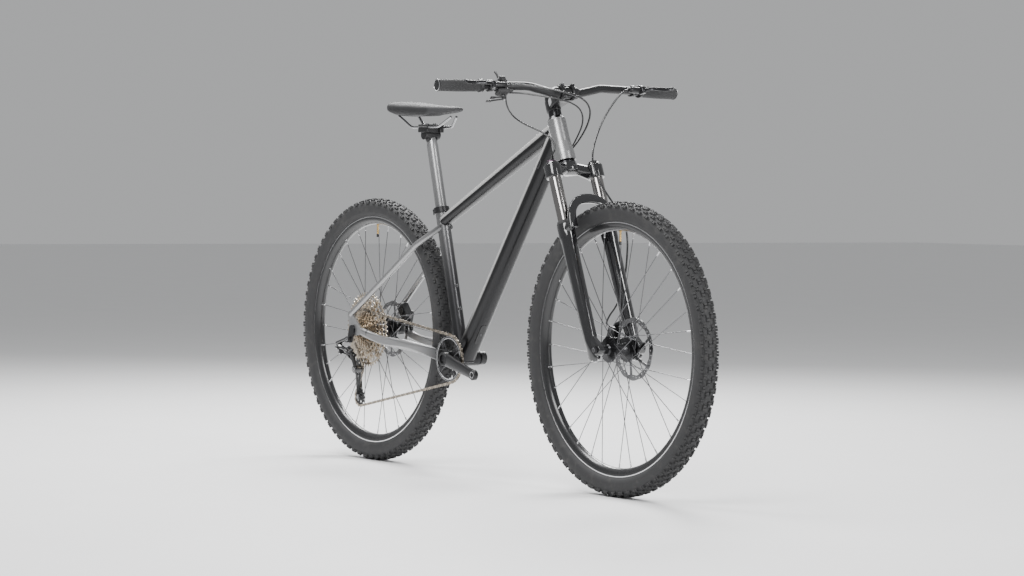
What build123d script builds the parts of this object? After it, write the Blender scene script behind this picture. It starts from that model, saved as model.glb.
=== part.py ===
from build123d import *
import math
import os

os.makedirs("parts", exist_ok=True)

# Trail bicycle in millimetres. +X forward, +Y to the rider's left, +Z up.
# The origin is on the ground at the middle of the wheelbase.

# ---- chassis layout
wheelbase = 1130.0
tyre_radius = 370.0
chainstay_length = 440.0
bottom_bracket_drop = 60.0
head_angle = 68.5
seat_angle = 74.5
fork_offset = 46.0
axle_to_crown = 515.0
fork_travel = 100.0
head_tube_length = 115.0
seat_tube_length = 420.0

# ---- frame tubes
head_lower_radius = 28.0
head_upper_radius = 24.0
seat_tube_radius = 18.0
seatpost_radius = 15.8
shell_radius = 21.0
shell_width = 73.0
tube_wall = 2.2
down_tube_low = (54.0, 46.0)
down_tube_high = (45.0, 50.0)
top_tube_rear = (32.0, 31.0)
top_tube_front = (40.0, 40.0)
seatstay_radius = 8.0
dropout_thickness = 6.0

# ---- wheels
tyre_width = 57.0
rim_inner_radius = 297.0
rim_outer_radius = 317.5
rim_width = 30.0
rim_bed_radius = 308.0
spoke_radius = 1.0
spokes_per_side = 16
nipple_radius = 2.0
front_hub_width = 110.0
rear_hub_width = 148.0
front_axle_radius = 7.5
rear_axle_radius = 6.0
rotor_radius = 80.0
rotor_thickness = 1.8
front_rotor_y = 45.0
rear_rotor_y = 54.0

# ---- drivetrain
chain_pitch = 12.7
chain_y = -46.5
roller_radius = 3.6
plate_offset = 1.15
plate_thickness = 0.65
plate_height = 7.6
cog_teeth = (51, 45, 39, 33, 28, 24, 21, 18, 16, 14, 12, 10)
chain_cog = 4
cog_step = 3.55
cog_thickness = 1.8
ring_teeth = 32
pulley_teeth = 12
crank_length = 170.0
crank_angle = -11.1
spindle_radius = 12.0
pedal_thread_radius = 7.14
pedal_face_y = 86.0

# ---- fork and cockpit
stanchion_radius = 16.0
stanchion_half_spacing = 66.0
stanchion_offset = 26.0
lower_leg_radius = 21.0
seal_height = 350.0
steerer_radius = 14.3
steerer_taper_radius = 19.0
stem_length = 60.0
stem_height = 40.0
bar_half_width = 378.0
grip_length = 130.0
bar_radius = 11.1
bar_clamp_radius = 15.9
grip_radius = 16.0

# ---- clearances
slide_clearance = 0.05
running_clearance = 0.05
face_gap = 0.3

# ---- derived places
rear_axle = Vector(-wheelbase / 2, 0, tyre_radius)
front_axle = Vector(wheelbase / 2, 0, tyre_radius)
bracket_z = tyre_radius - bottom_bracket_drop
bracket_x = rear_axle.X + math.sqrt(chainstay_length ** 2 - bottom_bracket_drop ** 2)
bracket = Vector(bracket_x, 0, bracket_z)
head_slope = math.radians(head_angle)
steer_up = Vector(-math.cos(head_slope), 0, math.sin(head_slope))
steer_forward = Vector(math.sin(head_slope), 0, math.cos(head_slope))
steer_origin = front_axle - steer_forward * fork_offset
STEER = Plane(origin=steer_origin, x_dir=steer_forward, z_dir=steer_up).location
lower_stack = 8.0
head_bottom = axle_to_crown + lower_stack
head_top = head_bottom + head_tube_length
seat_slope = math.radians(seat_angle)
seat_up = Vector(-math.cos(seat_slope), 0, math.sin(seat_slope))
seat_top = bracket + seat_up * seat_tube_length


def steer(n, y, t):
    """Frame point n forward of, y left of and t up the steering axis."""
    return steer_origin + steer_forward * n + steer_up * t + Vector(0, y, 0)


def rod(a, b, radius, end_radius=None, bore=0.0):
    """Round bar from a to b, tapered when end_radius is given, bored through when bore is."""
    a = Vector(*a)
    b = Vector(*b)
    plane = Plane(origin=a, z_dir=b - a)
    length = (b - a).length
    if end_radius is None:
        body = Solid.make_cylinder(radius, length, plane)
    else:
        body = Solid.make_cone(radius, end_radius, length, plane)
    if bore:
        body = body - Solid.make_cylinder(bore, length, plane)
    return body


def cross_rod(x, z, y0, y1, radius, bore=0.0):
    """Round bar along Y between y0 and y1."""
    low, high = min(y0, y1), max(y0, y1)
    return rod((x, low, z), (x, high, z), radius, bore=bore)


def box(low, high):
    """Box between two corners."""
    size = [h - l for l, h in zip(low, high)]
    middle = [(h + l) / 2 for l, h in zip(low, high)]
    return Pos(*middle) * Box(*size)


def biggest(shape, count=1):
    """The largest solids of a shape, which drops cut-off crumbs."""
    return sorted(shape.solids(), key=lambda s: -s.volume)[:count]


def both_sides(shape):
    """A shape and its mirror image across the bicycle's centre plane."""
    return [*shape.solids(), *mirror(shape, about=Plane.XZ).solids()]


def write(name, *shapes):
    """One STEP file holding every solid given."""
    solids = []
    for shape in shapes:
        group = shape if isinstance(shape, (list, tuple)) else [shape]
        for one in group:
            solids += list(one.solids())
    export_step(Compound(solids), f"parts/{name}.step")
    return solids


def loft_between(sections, ruled=False):
    """Loft through rounded rectangles: (origin, forward direction, (across, deep), corner)."""
    faces = []
    for origin, direction, (across, deep), corner in sections:
        plane = Plane(origin=origin, x_dir=(0, 1, 0), z_dir=direction)
        faces.append(plane * RectangleRounded(across, deep, corner))
    return loft(faces, ruled=ruled)


def hull_plate(circles, y0, y1):
    """Plate between y0 and y1 whose outline wraps circles given as (x, z, radius)."""
    low, high = min(y0, y1), max(y0, y1)
    sketch = Sketch()
    for x, z, radius in circles:
        sketch += Pos(x, z) * Circle(radius)
    outline = make_hull(sketch.edges())
    plate = extrude(outline, amount=high - low)
    return Location((0, high, 0), (90, 0, 0)) * plate


def hose(points, radius):
    """Round hose through points: straight runs joined by the largest arcs that fit."""
    corners = [Vector(*p) for p in points]
    radii = []
    for before, here, after in zip(corners, corners[1:], corners[2:]):
        turn = math.radians((here - before).get_angle(after - here))
        run = min((here - before).length, (after - here).length)
        radii.append(0.45 * run / math.tan(turn / 2))
    path = FilletPolyline(*corners, radius=radii)
    start = Plane(origin=path @ 0, z_dir=path % 0)
    body = sweep(start * Circle(radius), path=path)
    expected = math.pi * radius ** 2 * path.length
    print("hose", round(path.length, 1), "mm, least radius", round(min(radii), 1),
          "volume over section times length", round(body.volume / expected, 4))
    return body


# ---------------------------------------------------------------- frame
def head_tube_outer():
    waist = head_bottom + 0.45 * head_tube_length
    parts = Solid.make_cylinder(head_lower_radius, 20, Plane((0, 0, head_bottom)))
    parts += Solid.make_cone(head_lower_radius, head_upper_radius, waist - head_bottom - 20,
                             Plane((0, 0, head_bottom + 20)))
    parts += Solid.make_cylinder(head_upper_radius, head_top - waist, Plane((0, 0, waist)))
    return STEER * parts


bearing_height = 8.0
lower_cup_radius = head_lower_radius - 2.0
upper_cup_radius = head_upper_radius - 2.5
head_bore_radius = steerer_taper_radius + 1.5


def head_tube():
    bore = Solid.make_cylinder(head_bore_radius, head_tube_length, Plane((0, 0, head_bottom)))
    low = Solid.make_cylinder(lower_cup_radius, bearing_height, Plane((0, 0, head_bottom)))
    high = Solid.make_cylinder(upper_cup_radius, bearing_height,
                               Plane((0, 0, head_top - bearing_height)))
    return head_tube_outer() - STEER * bore - STEER * low - STEER * high


def headset_bearings():
    low = rod((0, 0, head_bottom), (0, 0, head_bottom + bearing_height), lower_cup_radius,
              bore=steerer_taper_radius + running_clearance)
    high = rod((0, 0, head_top - bearing_height), (0, 0, head_top), upper_cup_radius,
               bore=steerer_radius + running_clearance)
    return [STEER * low, STEER * high]


down_low = bracket + Vector(8, 0, 4)
down_high = steer(0, 0, head_bottom + 78)
down_way = (down_high - down_low).normalized()
top_rear = bracket + seat_up * 380
top_front = steer(0, 0, head_top - 22)
top_way = (top_front - top_rear).normalized()


def tube_loft(a, b, way, size_a, size_b, shrink=0.0):
    corner_a = min(size_a) * 0.42 - shrink
    corner_b = min(size_b) * 0.42 - shrink
    small_a = tuple(s - 2 * shrink for s in size_a)
    small_b = tuple(s - 2 * shrink for s in size_b)
    return loft_between([(a, way, small_a, corner_a), (b, way, small_b, corner_b)])


def seat_tube_outer():
    return rod(bracket, seat_top, seat_tube_radius)


def bracket_shell_outer():
    return cross_rod(bracket.X, bracket.Z, -shell_width / 2, shell_width / 2, shell_radius)


def down_tube_outer():
    return tube_loft(down_low, down_high, down_way, down_tube_low, down_tube_high)


def down_tube():
    inner = tube_loft(down_low, down_high, down_way, down_tube_low, down_tube_high, tube_wall)
    body = down_tube_outer() - inner - head_tube_outer() - bracket_shell_outer()
    body = body - seat_tube_outer()
    for side in (-1, 1):
        body = body - port_slot(side, 14.0)
    return biggest(body)


port_centre = down_low + (down_high - down_low) * 0.868
port_length = 26.0
port_height = 10.0
port_depth = down_tube_high[0] / 2 + 0.6


def port_slot(side, thickness):
    """Slot-ended block through the down tube's side wall, where the hoses enter."""
    plane = Plane(origin=port_centre + Vector(0, side * port_depth, 0), x_dir=down_way,
                  z_dir=(0, -side, 0))
    return extrude(plane * SlotOverall(port_length, port_height), amount=thickness)


def port_plugs():
    """Rubber plugs: the left one is bored for its two hoses."""
    plugs = []
    for side in (-1, 1):
        plugs += biggest(port_slot(side, 4.5))
    return plugs


def top_tube():
    outer = tube_loft(top_rear, top_front, top_way, top_tube_rear, top_tube_front)
    inner = tube_loft(top_rear, top_front, top_way, top_tube_rear, top_tube_front, tube_wall)
    body = outer - inner - head_tube_outer() - seat_tube_outer() - down_tube_outer()
    return biggest(body)


def seat_tube():
    bore = rod(bracket, seat_top, seatpost_radius + slide_clearance)
    body = seat_tube_outer() - bore - bracket_shell_outer()
    slot_back = seat_top - seat_up * 16 - Vector(seat_tube_radius, 0, 0)
    slot = Plane(origin=slot_back, z_dir=seat_up) * Box(16, 2.4, 40)
    return biggest(body - slot)


cup_bore = spindle_radius + running_clearance
shell_bore = 17.0
cup_flange = 7.5


def bracket_shell():
    return bracket_shell_outer() - cross_rod(bracket.X, bracket.Z, -shell_width / 2,
                                             shell_width / 2, shell_bore)


def bracket_cups():
    cups = []
    half = shell_width / 2
    for side in (-1, 1):
        inside = cross_rod(bracket.X, bracket.Z, side * (half - 12), side * half, shell_bore)
        flange = cross_rod(bracket.X, bracket.Z, side * half, side * (half + cup_flange),
                           shell_radius)
        bore = cross_rod(bracket.X, bracket.Z, side * (half - 13),
                         side * (half + cup_flange + 1), cup_bore)
        cups += biggest(inside + flange - bore)
    return cups


dropout_inner = rear_hub_width / 2
dropout_outer = dropout_inner + dropout_thickness
chainstay_end = Vector(-533, 67.5, 367)
seatstay_end = Vector(-583, 77, 412)


def chainstay():
    """Left chainstay, running back from the bottom bracket shell past the tyre."""
    way = (-1, 0, 0)
    stations = [
        (bracket.X - 8, 24.0, bracket.Z + 1, 18.0, 38.0),
        (bracket.X - 45, 33.0, bracket.Z + 5, 13.0, 36.0),
        (bracket.X - 72, 38.0, bracket.Z + 9, 8.5, 32.0),
        (bracket.X - 125, 44.0, bracket.Z + 18, 14.0, 28.0),
        (bracket.X - 250, 57.0, bracket.Z + 31, 16.0, 26.0),
        (bracket.X - 355, 68.0, bracket.Z + 45, 15.0, 24.0),
        (chainstay_end.X, 74.5, chainstay_end.Z, 10.0, 20.0),
    ]
    sections = []
    for x, y, z, across, deep in stations:
        sections.append(((x, y, z), way, (across, deep), 0.42 * across))
    return loft_between(sections)


def chainstays():
    cup_room = cross_rod(bracket.X, bracket.Z, shell_width / 2, shell_width, shell_radius + 1)
    left = chainstay() - bracket_shell_outer() - dropout_plate() - seat_tube_outer()
    left = left - cup_room
    return both_sides(biggest(left)[0])


def seatstay():
    """Left seatstay: from the seat tube's side, round the tyre, down to the dropout."""
    start = seat_top - seat_up * 55
    points = [
        (start.X + 8, 14, start.Z + 4),
        (-292, 47, 616),
        (-430, 60, 519),
        tuple(seatstay_end),
    ]
    path = FilletPolyline(*[Vector(*p) for p in points], radius=[60, 200])
    plane = Plane(origin=path @ 0, x_dir=(0, 1, 0), z_dir=path % 0)
    return sweep(plane * Ellipse(seatstay_radius - 1, seatstay_radius + 1), path=path)


def seatstays():
    top = tube_loft(top_rear, top_front, top_way, top_tube_rear, top_tube_front)
    left = seatstay() - seat_tube_outer() - top - dropout_plate()
    return both_sides(biggest(left)[0])


def dropout_plate():
    circles = [(rear_axle.X, rear_axle.Z, 17), (seatstay_end.X, seatstay_end.Z, 10),
               (chainstay_end.X, chainstay_end.Z, 11)]
    return hull_plate(circles, dropout_inner, dropout_outer)


def dropouts():
    bore = cross_rod(rear_axle.X, rear_axle.Z, dropout_inner - 1, dropout_outer + 1,
                     rear_axle_radius)
    return both_sides(dropout_plate() - bore)


hanger_x = rear_axle.X - 10
hanger_z = rear_axle.Z - 28
hanger_thickness = 6.0


def derailleur_hanger():
    outer = -(dropout_outer + hanger_thickness)
    circles = [(rear_axle.X, rear_axle.Z, 13), (hanger_x, hanger_z, 10)]
    plate = hull_plate(circles, -dropout_outer, outer)
    axle = cross_rod(rear_axle.X, rear_axle.Z, -dropout_outer + 1, outer - 1, rear_axle_radius)
    bolt = cross_rod(hanger_x, hanger_z, -dropout_outer + 1, outer - 1, 5.0)
    return plate - axle - bolt


def rear_thru_axle():
    left = dropout_outer
    right = -(dropout_outer + hanger_thickness)
    shaft = cross_rod(rear_axle.X, rear_axle.Z, left, right, rear_axle_radius)
    head = cross_rod(rear_axle.X, rear_axle.Z, left, left + 6, 9)
    socket = cross_rod(rear_axle.X, rear_axle.Z, left + 1.5, left + 7, 3)
    return shaft + head - socket


collar_height = 16.0


def seat_clamp():
    """Collar round the top of the seat tube, with its bolt ears at the back."""
    base = seat_top - seat_up * 14
    ring = rod(base, base + seat_up * collar_height, seat_tube_radius + 3.5)
    ears = Plane(origin=base + seat_up * 8, x_dir=(0, 1, 0), z_dir=seat_up)
    ears = ears * Pos(0, seat_tube_radius + 6, 0) * Box(16, 14, 12)
    body = ring + ears - rod(base, base + seat_up * collar_height, seat_tube_radius)
    slot = Plane(origin=base + seat_up * 8, x_dir=(0, 1, 0), z_dir=seat_up)
    body = body - slot * Pos(0, seat_tube_radius + 6, 0) * Box(2.4, 20, 20)
    centre = base + seat_up * 8 - Vector(seat_tube_radius + 8, 0, 0)
    hole = rod(centre - Vector(0, 12, 0), centre + Vector(0, 12, 0), 2.6)
    bolt = rod(centre - Vector(0, 8, 0), centre + Vector(0, 8, 0), 2.5)
    bolt += rod(centre + Vector(0, 8, 0), centre + Vector(0, 12, 0), 4.2)
    return [*(body - hole).solids(), *bolt.solids()]


boss_heights = (134.0, 198.0)


def frame_fittings():
    """Bottle bolts, cable port plugs and the service cover under the down tube."""
    bits = []
    forward = Vector(math.sin(seat_slope), 0, math.cos(seat_slope))
    for height in boss_heights:
        seat = bracket + seat_up * height + forward * seat_tube_radius
        bits.append(rod(seat + forward * 0.1, seat + forward * 4, 4.2))
    bits += port_plugs()
    under = Vector(down_way.Z, 0, -down_way.X)
    spot = down_low + down_way * 95
    plane = Plane(origin=spot + under * (down_tube_low[1] / 2 - 0.6), x_dir=down_way,
                  z_dir=under)
    cover = extrude(plane * SlotOverall(64, 18), amount=3.2) - down_tube_outer()
    bits += biggest(cover)
    screw = spot + under * (down_tube_low[1] / 2 + 2.6)
    bits.append(rod(screw, screw + under * 1.6, 3.0))
    return bits


# ---------------------------------------------------------------- brakes
def caliper(x, z, rotor_y, spin_deg):
    """Two-piston caliper body astride a rotor, its long side turned by spin_deg about Y."""
    wide = 11.5
    body = Box(48, 2 * wide, 26)
    body = fillet(body.edges().filter_by(Axis.Y), 6)
    body = body - Pos(0, 0, -6) * Box(52, rotor_thickness + 2.4, 26)
    for side in (-1, 1):
        cap = Pos(0, side * (wide + 1.5), 0) * Rot(90, 0, 0) * Cylinder(9.5, 3)
        body = body + cap
    return Location((x, rotor_y, z), (0, spin_deg, 0)) * body


rear_caliper_x = rear_axle.X + 62
rear_caliper_z = rear_axle.Z + 52


def rear_brake():
    """Rear caliper and its bracket, which stands on the left chainstay and dropout."""
    body = caliper(rear_caliper_x, rear_caliper_z, rear_rotor_y, 50)
    foot = hull_plate([(rear_axle.X + 22, rear_axle.Z + 26, 7), (rear_axle.X + 64,
                       rear_axle.Z + 22, 7), (rear_caliper_x + 8, rear_caliper_z - 6, 9)],
                      rear_rotor_y + 11.5, dropout_inner - 0.5)
    leg = hull_plate([(rear_axle.X + 64, rear_axle.Z + 22, 7),
                      (rear_axle.X + 70, rear_axle.Z + 4, 6)],
                     rear_rotor_y + 12, dropout_inner - 0.5)
    tab = hull_plate([(rear_axle.X + 22, rear_axle.Z + 26, 7),
                      (rear_axle.X + 14, rear_axle.Z + 12, 6)],
                     rear_rotor_y + 12, dropout_inner)
    body = body + foot + leg + tab
    return biggest(body - chainstay() - dropout_plate())


def front_brake():
    """Front caliper on two posts behind the left fork leg, in steering coordinates."""
    body = caliper(-20, 58, front_rotor_y, -52)
    y = front_rotor_y + 9
    for t in (38.0, 84.0):
        arm = rod((-14, y, t), (stanchion_offset - 6, stanchion_half_spacing - 2, t), 6.5)
        body = body + arm
    return body


# ---------------------------------------------------------------- wheels
def tyre():
    half = tyre_width / 2
    bead = 12.4
    outer = (Polyline((rim_bed_radius + 0.4, bead), (rim_outer_radius + 0.8, bead))
             + ThreePointArc((rim_outer_radius + 0.8, bead), (327, 24.4), (341, 27.2))
             + Polyline((341, 27.2), (348, 27.0), (350.5, half), (357, half - 1))
             + ThreePointArc((357, half - 1), (366.8, 15.5), (tyre_radius, 0))
             + Line((tyre_radius, 0), (364.2, 0))
             + ThreePointArc((364.2, 0), (343, 23.6), (rim_outer_radius + 0.8, 9.8))
             + Polyline((rim_outer_radius + 0.8, 9.8), (rim_bed_radius + 0.4, 9.8),
                        (rim_bed_radius + 0.4, bead)))
    half_face = make_face(outer.edges())
    section = half_face + mirror(half_face, about=Plane.XZ)
    return revolve(section, axis=Axis.Y, revolution_arc=360)


def rim():
    half = rim_width / 2
    flange = 2.5
    outline = make_face(Polyline(
        (rim_outer_radius, half), (rim_outer_radius, half - flange),
        (rim_bed_radius, half - flange), (rim_bed_radius, flange - half),
        (rim_outer_radius, flange - half), (rim_outer_radius, -half),
        (rim_outer_radius - 8, -half), (rim_inner_radius, -6), (rim_inner_radius, 6),
        (rim_outer_radius - 8, half), close=True))
    hollow = make_face(Polyline(
        (rim_bed_radius - 2, half - 4.5), (rim_bed_radius - 2, 4.5 - half),
        (rim_inner_radius + 2.5, -4.5), (rim_inner_radius + 2.5, 4.5), close=True))
    return revolve(outline - hollow, axis=Axis.Y, revolution_arc=360)


flange_radius = 29.0
flange_half = 1.6
spoke_throw = 67.5


def spokes(left_y, right_y):
    """Three-cross lacing: each spoke is elbow, shaft and nipple in one solid."""
    bars = []
    pitch = 360 / spokes_per_side
    lift = flange_half + spoke_radius
    for side, flange_y in ((1, left_y), (-1, right_y)):
        for index in range(spokes_per_side):
            trailing = index % 2 == 0
            hub_angle = math.radians(index * pitch + (0 if side > 0 else pitch / 2))
            throw = math.radians(spoke_throw if trailing else -spoke_throw)
            rim_angle = hub_angle + throw
            y = flange_y + (lift if trailing else -lift)
            other = flange_y + (-lift if trailing else lift)
            foot = Vector(flange_radius * math.cos(hub_angle), y,
                          flange_radius * math.sin(hub_angle))
            heel = Vector(foot.X, other, foot.Z)
            tip = Vector(rim_outer_radius * math.cos(rim_angle), side * 2.0,
                         rim_outer_radius * math.sin(rim_angle))
            way = (tip - foot).normalized()
            reach = (tip - foot).length
            seat = foot + way * (reach - 16)
            bar = rod(foot, seat, spoke_radius) + rod(heel, foot, spoke_radius)
            bar = bar + rod(foot + way * (reach - 34), seat, nipple_radius)
            bars += biggest(bar)
    return bars


hub_core_wall = 3.0
hub_core_radius = rear_axle_radius + running_clearance + hub_core_wall


def hub(width, bore, left_y, right_y, rotor_y, freehub):
    """Hub shell with two spoke flanges, a rotor seat and end caps, bored for its axle."""
    half = width / 2 - face_gap
    disc_face = rotor_y - rotor_thickness / 2
    parts = [
        (bore + hub_core_wall, -half, half),
        (13.0, right_y, disc_face - 6),
        (flange_radius + 4, left_y - flange_half, left_y + flange_half),
        (flange_radius + 4, right_y - flange_half, right_y + flange_half),
        (17.0, left_y, disc_face - 5),
        (26.0, disc_face - 5, disc_face),
        (12.0, disc_face - 5, rotor_y + 4),
    ]
    body = None
    for radius, y0, y1 in parts:
        piece = cross_rod(0, 0, y0, y1, radius)
        body = piece if body is None else body + piece
    if freehub:
        body = body + cross_rod(0, 0, right_y - 5, right_y, 20)
    return body - cross_rod(0, 0, -half - 1, half + 1, bore)


def rotor(rotor_y):
    """Brake rotor: braking ring, six arms and the seat with its six bolts."""
    low = rotor_y - rotor_thickness / 2
    high = rotor_y + rotor_thickness / 2
    ring = cross_rod(0, 0, low, high, rotor_radius, bore=rotor_radius - 15)
    seat = cross_rod(0, 0, low, high, 27, bore=12.3)
    body = ring + seat
    for index in range(6):
        arm = Pos(46, rotor_y, 0) * Box(44, rotor_thickness, 7)
        body = body + Rot(0, index * 60, 0) * Pos(0, 0, 8) * arm
    for index in range(18):
        angle = math.radians(index * 20)
        x = (rotor_radius - 7.5) * math.cos(angle)
        z = (rotor_radius - 7.5) * math.sin(angle)
        body = body - cross_rod(x, z, low - 1, high + 1, 3.2)
    bolts = []
    for index in range(6):
        angle = math.radians(index * 60 + 30)
        x, z = 22 * math.cos(angle), 22 * math.sin(angle)
        bolts.append(cross_rod(x, z, high, high + 2.2, 3.4))
    return [*biggest(body), *bolts]


def valve():
    """Tyre valve standing inwards from the rim at the top of the wheel."""
    return rod((0, 0, rim_inner_radius - 34), (0, 0, rim_inner_radius - 0.1), 3.0)


def place(shapes, centre):
    group = shapes if isinstance(shapes, (list, tuple)) else [shapes]
    return [Pos(centre.X, 0, centre.Z) * s for one in group for s in one.solids()]


# ---------------------------------------------------------------- drivetrain
def pitch_radius(teeth):
    return chain_pitch / (2 * math.sin(math.pi / teeth))


def sprocket(teeth, thickness, phase_deg, bore):
    """Toothed disc about Y whose tooth gaps lie at phase_deg plus whole pitches."""
    radius = pitch_radius(teeth)
    step = 360 / teeth
    points = []
    for index in range(teeth):
        centre = phase_deg + (index + 0.5) * step
        for rise, half in ((-3.95, 3.0), (0.0, 2.2), (2.6, 0.9)):
            spread = math.degrees(half / (radius + rise))
            points.append((radius + rise, centre - spread))
        for rise, half in ((2.6, 0.9), (0.0, 2.2), (-3.95, 3.0)):
            spread = math.degrees(half / (radius + rise))
            points.append((radius + rise, centre + spread))
    outline = [(r * math.cos(math.radians(a)), r * math.sin(math.radians(a)))
               for r, a in points]
    face = make_face(Polyline(*outline, close=True)) - Circle(bore)
    disc = extrude(face, amount=thickness)
    return Location((0, thickness / 2, 0), (90, 0, 0)) * disc


def belt_run(centre_a, radius_a, turn_a, centre_b, radius_b, turn_b):
    """Tangent points of a straight chain run between two wheels turned +1 or -1."""
    (ax, az), (bx, bz) = centre_a, centre_b
    gap = math.hypot(bx - ax, bz - az)
    heading = math.atan2(bz - az, bx - ax)
    lean = math.asin((turn_a * radius_a - turn_b * radius_b) / gap)
    normal = heading + lean - math.pi / 2
    out_a = normal if turn_a > 0 else normal + math.pi
    out_b = normal if turn_b > 0 else normal + math.pi
    return out_a, out_b


guide_centre = (-588.0, 262.0)
tension_centre = (-577.0, 178.0)
cog_centre = (rear_axle.X, rear_axle.Z)
ring_centre = (bracket.X, bracket.Z)
# Seen from the left, as the chain runs forwards off the cog to the ring: centre, teeth, turn.
chain_wheels = [
    (ring_centre, ring_teeth, -1),
    (tension_centre, pulley_teeth, -1),
    (guide_centre, pulley_teeth, 1),
    (cog_centre, cog_teeth[chain_cog], -1),
]


def chain_stops():
    """For each wheel in order: centre, radius, turn, entry angle and exit angle."""
    runs = []
    for index, (centre, teeth, turn) in enumerate(chain_wheels):
        after = chain_wheels[(index + 1) % 4]
        runs.append(belt_run(centre, pitch_radius(teeth), turn, after[0],
                             pitch_radius(after[1]), after[2]))
    stops = []
    for index, (centre, teeth, turn) in enumerate(chain_wheels):
        enter = runs[index - 1][1]
        leave = runs[index][0]
        sweep_angle = (leave - enter) * turn % (2 * math.pi)
        stops.append((centre, pitch_radius(teeth), turn, enter, sweep_angle, teeth))
    return stops


def chain_path():
    """Chain line as straight runs and arcs in the plane of the sprockets."""
    stops = chain_stops()
    pieces = []
    for index, (centre, radius, turn, enter, swept, teeth) in enumerate(stops):
        pieces.append(("arc", centre, radius, turn, enter, swept, teeth))
        start = point_on(centre, radius, enter + turn * swept)
        after = stops[(index + 1) % 4]
        end = point_on(after[0], after[1], after[3])
        pieces.append(("run", start, end))
    return pieces


def point_on(centre, radius, angle):
    return (centre[0] + radius * math.cos(angle), centre[1] + radius * math.sin(angle))


def chain_rollers():
    """Roller centres one pitch apart, and where each wheel's first roller sits."""
    pieces = chain_path()
    lengths = []
    for piece in pieces:
        if piece[0] == "arc":
            lengths.append(piece[5] * piece[6] / (2 * math.pi))
        else:
            lengths.append(math.dist(piece[1], piece[2]) / chain_pitch)
    total = sum(lengths)
    links = 2 * round(total / 2)
    slack = (links - total) / sum(l for l, p in zip(lengths, pieces) if p[0] == "run")
    places, phases = [], {}
    done = 0.0
    count = 0
    for length, piece in zip(lengths, pieces):
        span = length if piece[0] == "arc" else length * (1 + slack)
        while count < done + span - 1e-9 and count < links:
            share = (count - done) / span
            if piece[0] == "arc":
                angle = piece[4] + piece[3] * piece[5] * share
                places.append(point_on(piece[1], piece[2], angle))
                phases.setdefault(piece[1], math.degrees(angle))
            else:
                (ax, az), (bx, bz) = piece[1], piece[2]
                places.append((ax + (bx - ax) * share, az + (bz - az) * share))
            count += 1
        done += span
    return places, phases, links


def chain(places):
    """Chain: rollers one pitch apart, inner and outer plates on alternate links."""
    solids = []
    slot = SlotOverall(chain_pitch + plate_height, plate_height)
    plate = extrude(slot, amount=plate_thickness / 2, both=True)
    for index, (x, z) in enumerate(places):
        solids.append(cross_rod(x, z, chain_y - plate_offset, chain_y + plate_offset,
                                roller_radius))
        nx, nz = places[(index + 1) % len(places)]
        heading = math.degrees(math.atan2(nz - z, nx - x))
        layer = plate_offset + plate_thickness * (0.5 + index % 2)
        for side in (-1, 1):
            middle = Vector((x + nx) / 2, chain_y + side * layer, (z + nz) / 2)
            solids.append(Pos(middle) * Rot(0, -heading, 0) * Rot(90, 0, 0) * plate)
    return solids


def chainring(phase):
    bore = 46.0
    body = Pos(0, chain_y, 0) * sprocket(ring_teeth, 1.9, phase, bore)
    seat = cross_rod(0, 0, chain_y - 2.5, chain_y + 1.5, 21, bore=spindle_radius)
    for index in range(4):
        arm = Pos(33, chain_y - 0.5, 0) * Box(32, 3.4, 13)
        body = body + Rot(0, index * 90 + 35, 0) * arm
    return place(body + seat, bracket)


def cassette(phase):
    """Twelve cogs on their carrier, the chain's cog phased to it."""
    solids = []
    carrier = None
    inner_y = chain_y + chain_cog * cog_step
    for index, teeth in enumerate(cog_teeth):
        y = inner_y - index * cog_step
        bore = hub_core_radius + running_clearance
        own_phase = phase if index == chain_cog else phase + index * 7
        cog = Pos(0, y, 0) * sprocket(teeth, cog_thickness, own_phase, bore)
        windows = cog_windows(teeth, y)
        for window in windows:
            cog = cog - window
        carrier = cog if carrier is None else carrier + cog
    return carrier


def cog_windows(teeth, y):
    """Lightening holes of the five largest cogs."""
    if teeth < 28:
        return []
    mid = (pitch_radius(teeth) + 26) / 2 + 3
    size = min((pitch_radius(teeth) - 26) / 2 - 7, mid * math.sin(math.radians(18)) - 2.5)
    holes = []
    for index in range(10):
        angle = math.radians(index * 36 + teeth * 9)
        holes.append(cross_rod(mid * math.cos(angle), mid * math.sin(angle), y - 2, y + 2,
                               size))
    return holes


def cassette_body(phase):
    """Cogs joined by spacers, and the freehub body that they slide on."""
    body = cassette(phase)
    inner_y = chain_y + chain_cog * cog_step
    for index in range(len(cog_teeth) - 1):
        y = inner_y - index * cog_step - cog_thickness / 2
        small = min(pitch_radius(cog_teeth[index + 1]) - 5, 28)
        body = body + cross_rod(0, 0, y, y - cog_step + cog_thickness, small,
                                bore=hub_core_radius + running_clearance)
    return body + freehub()


def freehub():
    """Splined body that carries the cogs and turns on the hub's core."""
    outer_y = face_gap + 1.2 - rear_hub_width / 2
    inner_y = chain_y + chain_cog * cog_step + cog_thickness / 2 + 1.5
    return cross_rod(0, 0, outer_y, inner_y, pitch_radius(cog_teeth[-1]) - 9,
                     bore=hub_core_radius + running_clearance)


def crank_arm():
    """Right crank arm about the origin, pointing along +X, outboard towards -Y."""
    root_y = -57.5
    tip_y = -(pedal_face_y - 6.5)
    boss = cross_rod(0, 0, -49.4, -68, 19)
    eye = cross_rod(crank_length, 0, -(pedal_face_y - 13), -pedal_face_y, 14.5)
    sections = []
    for share, depth, thick in ((0.03, 36, 15), (0.35, 33, 14), (0.7, 29, 13), (1.0, 27, 12)):
        y = root_y + (tip_y - root_y) * min(1, share ** 0.8)
        plane = Plane(origin=(crank_length * share, y, 0), x_dir=(0, 1, 0), z_dir=(1, 0, 0))
        sections.append(plane * RectangleRounded(thick, depth, 4))
    arm = loft(sections) + boss + eye
    arm = arm - cross_rod(crank_length, 0, -60, -100, pedal_thread_radius)
    arm = arm - cross_rod(0, 0, -64, -70, 13)
    return arm


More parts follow.
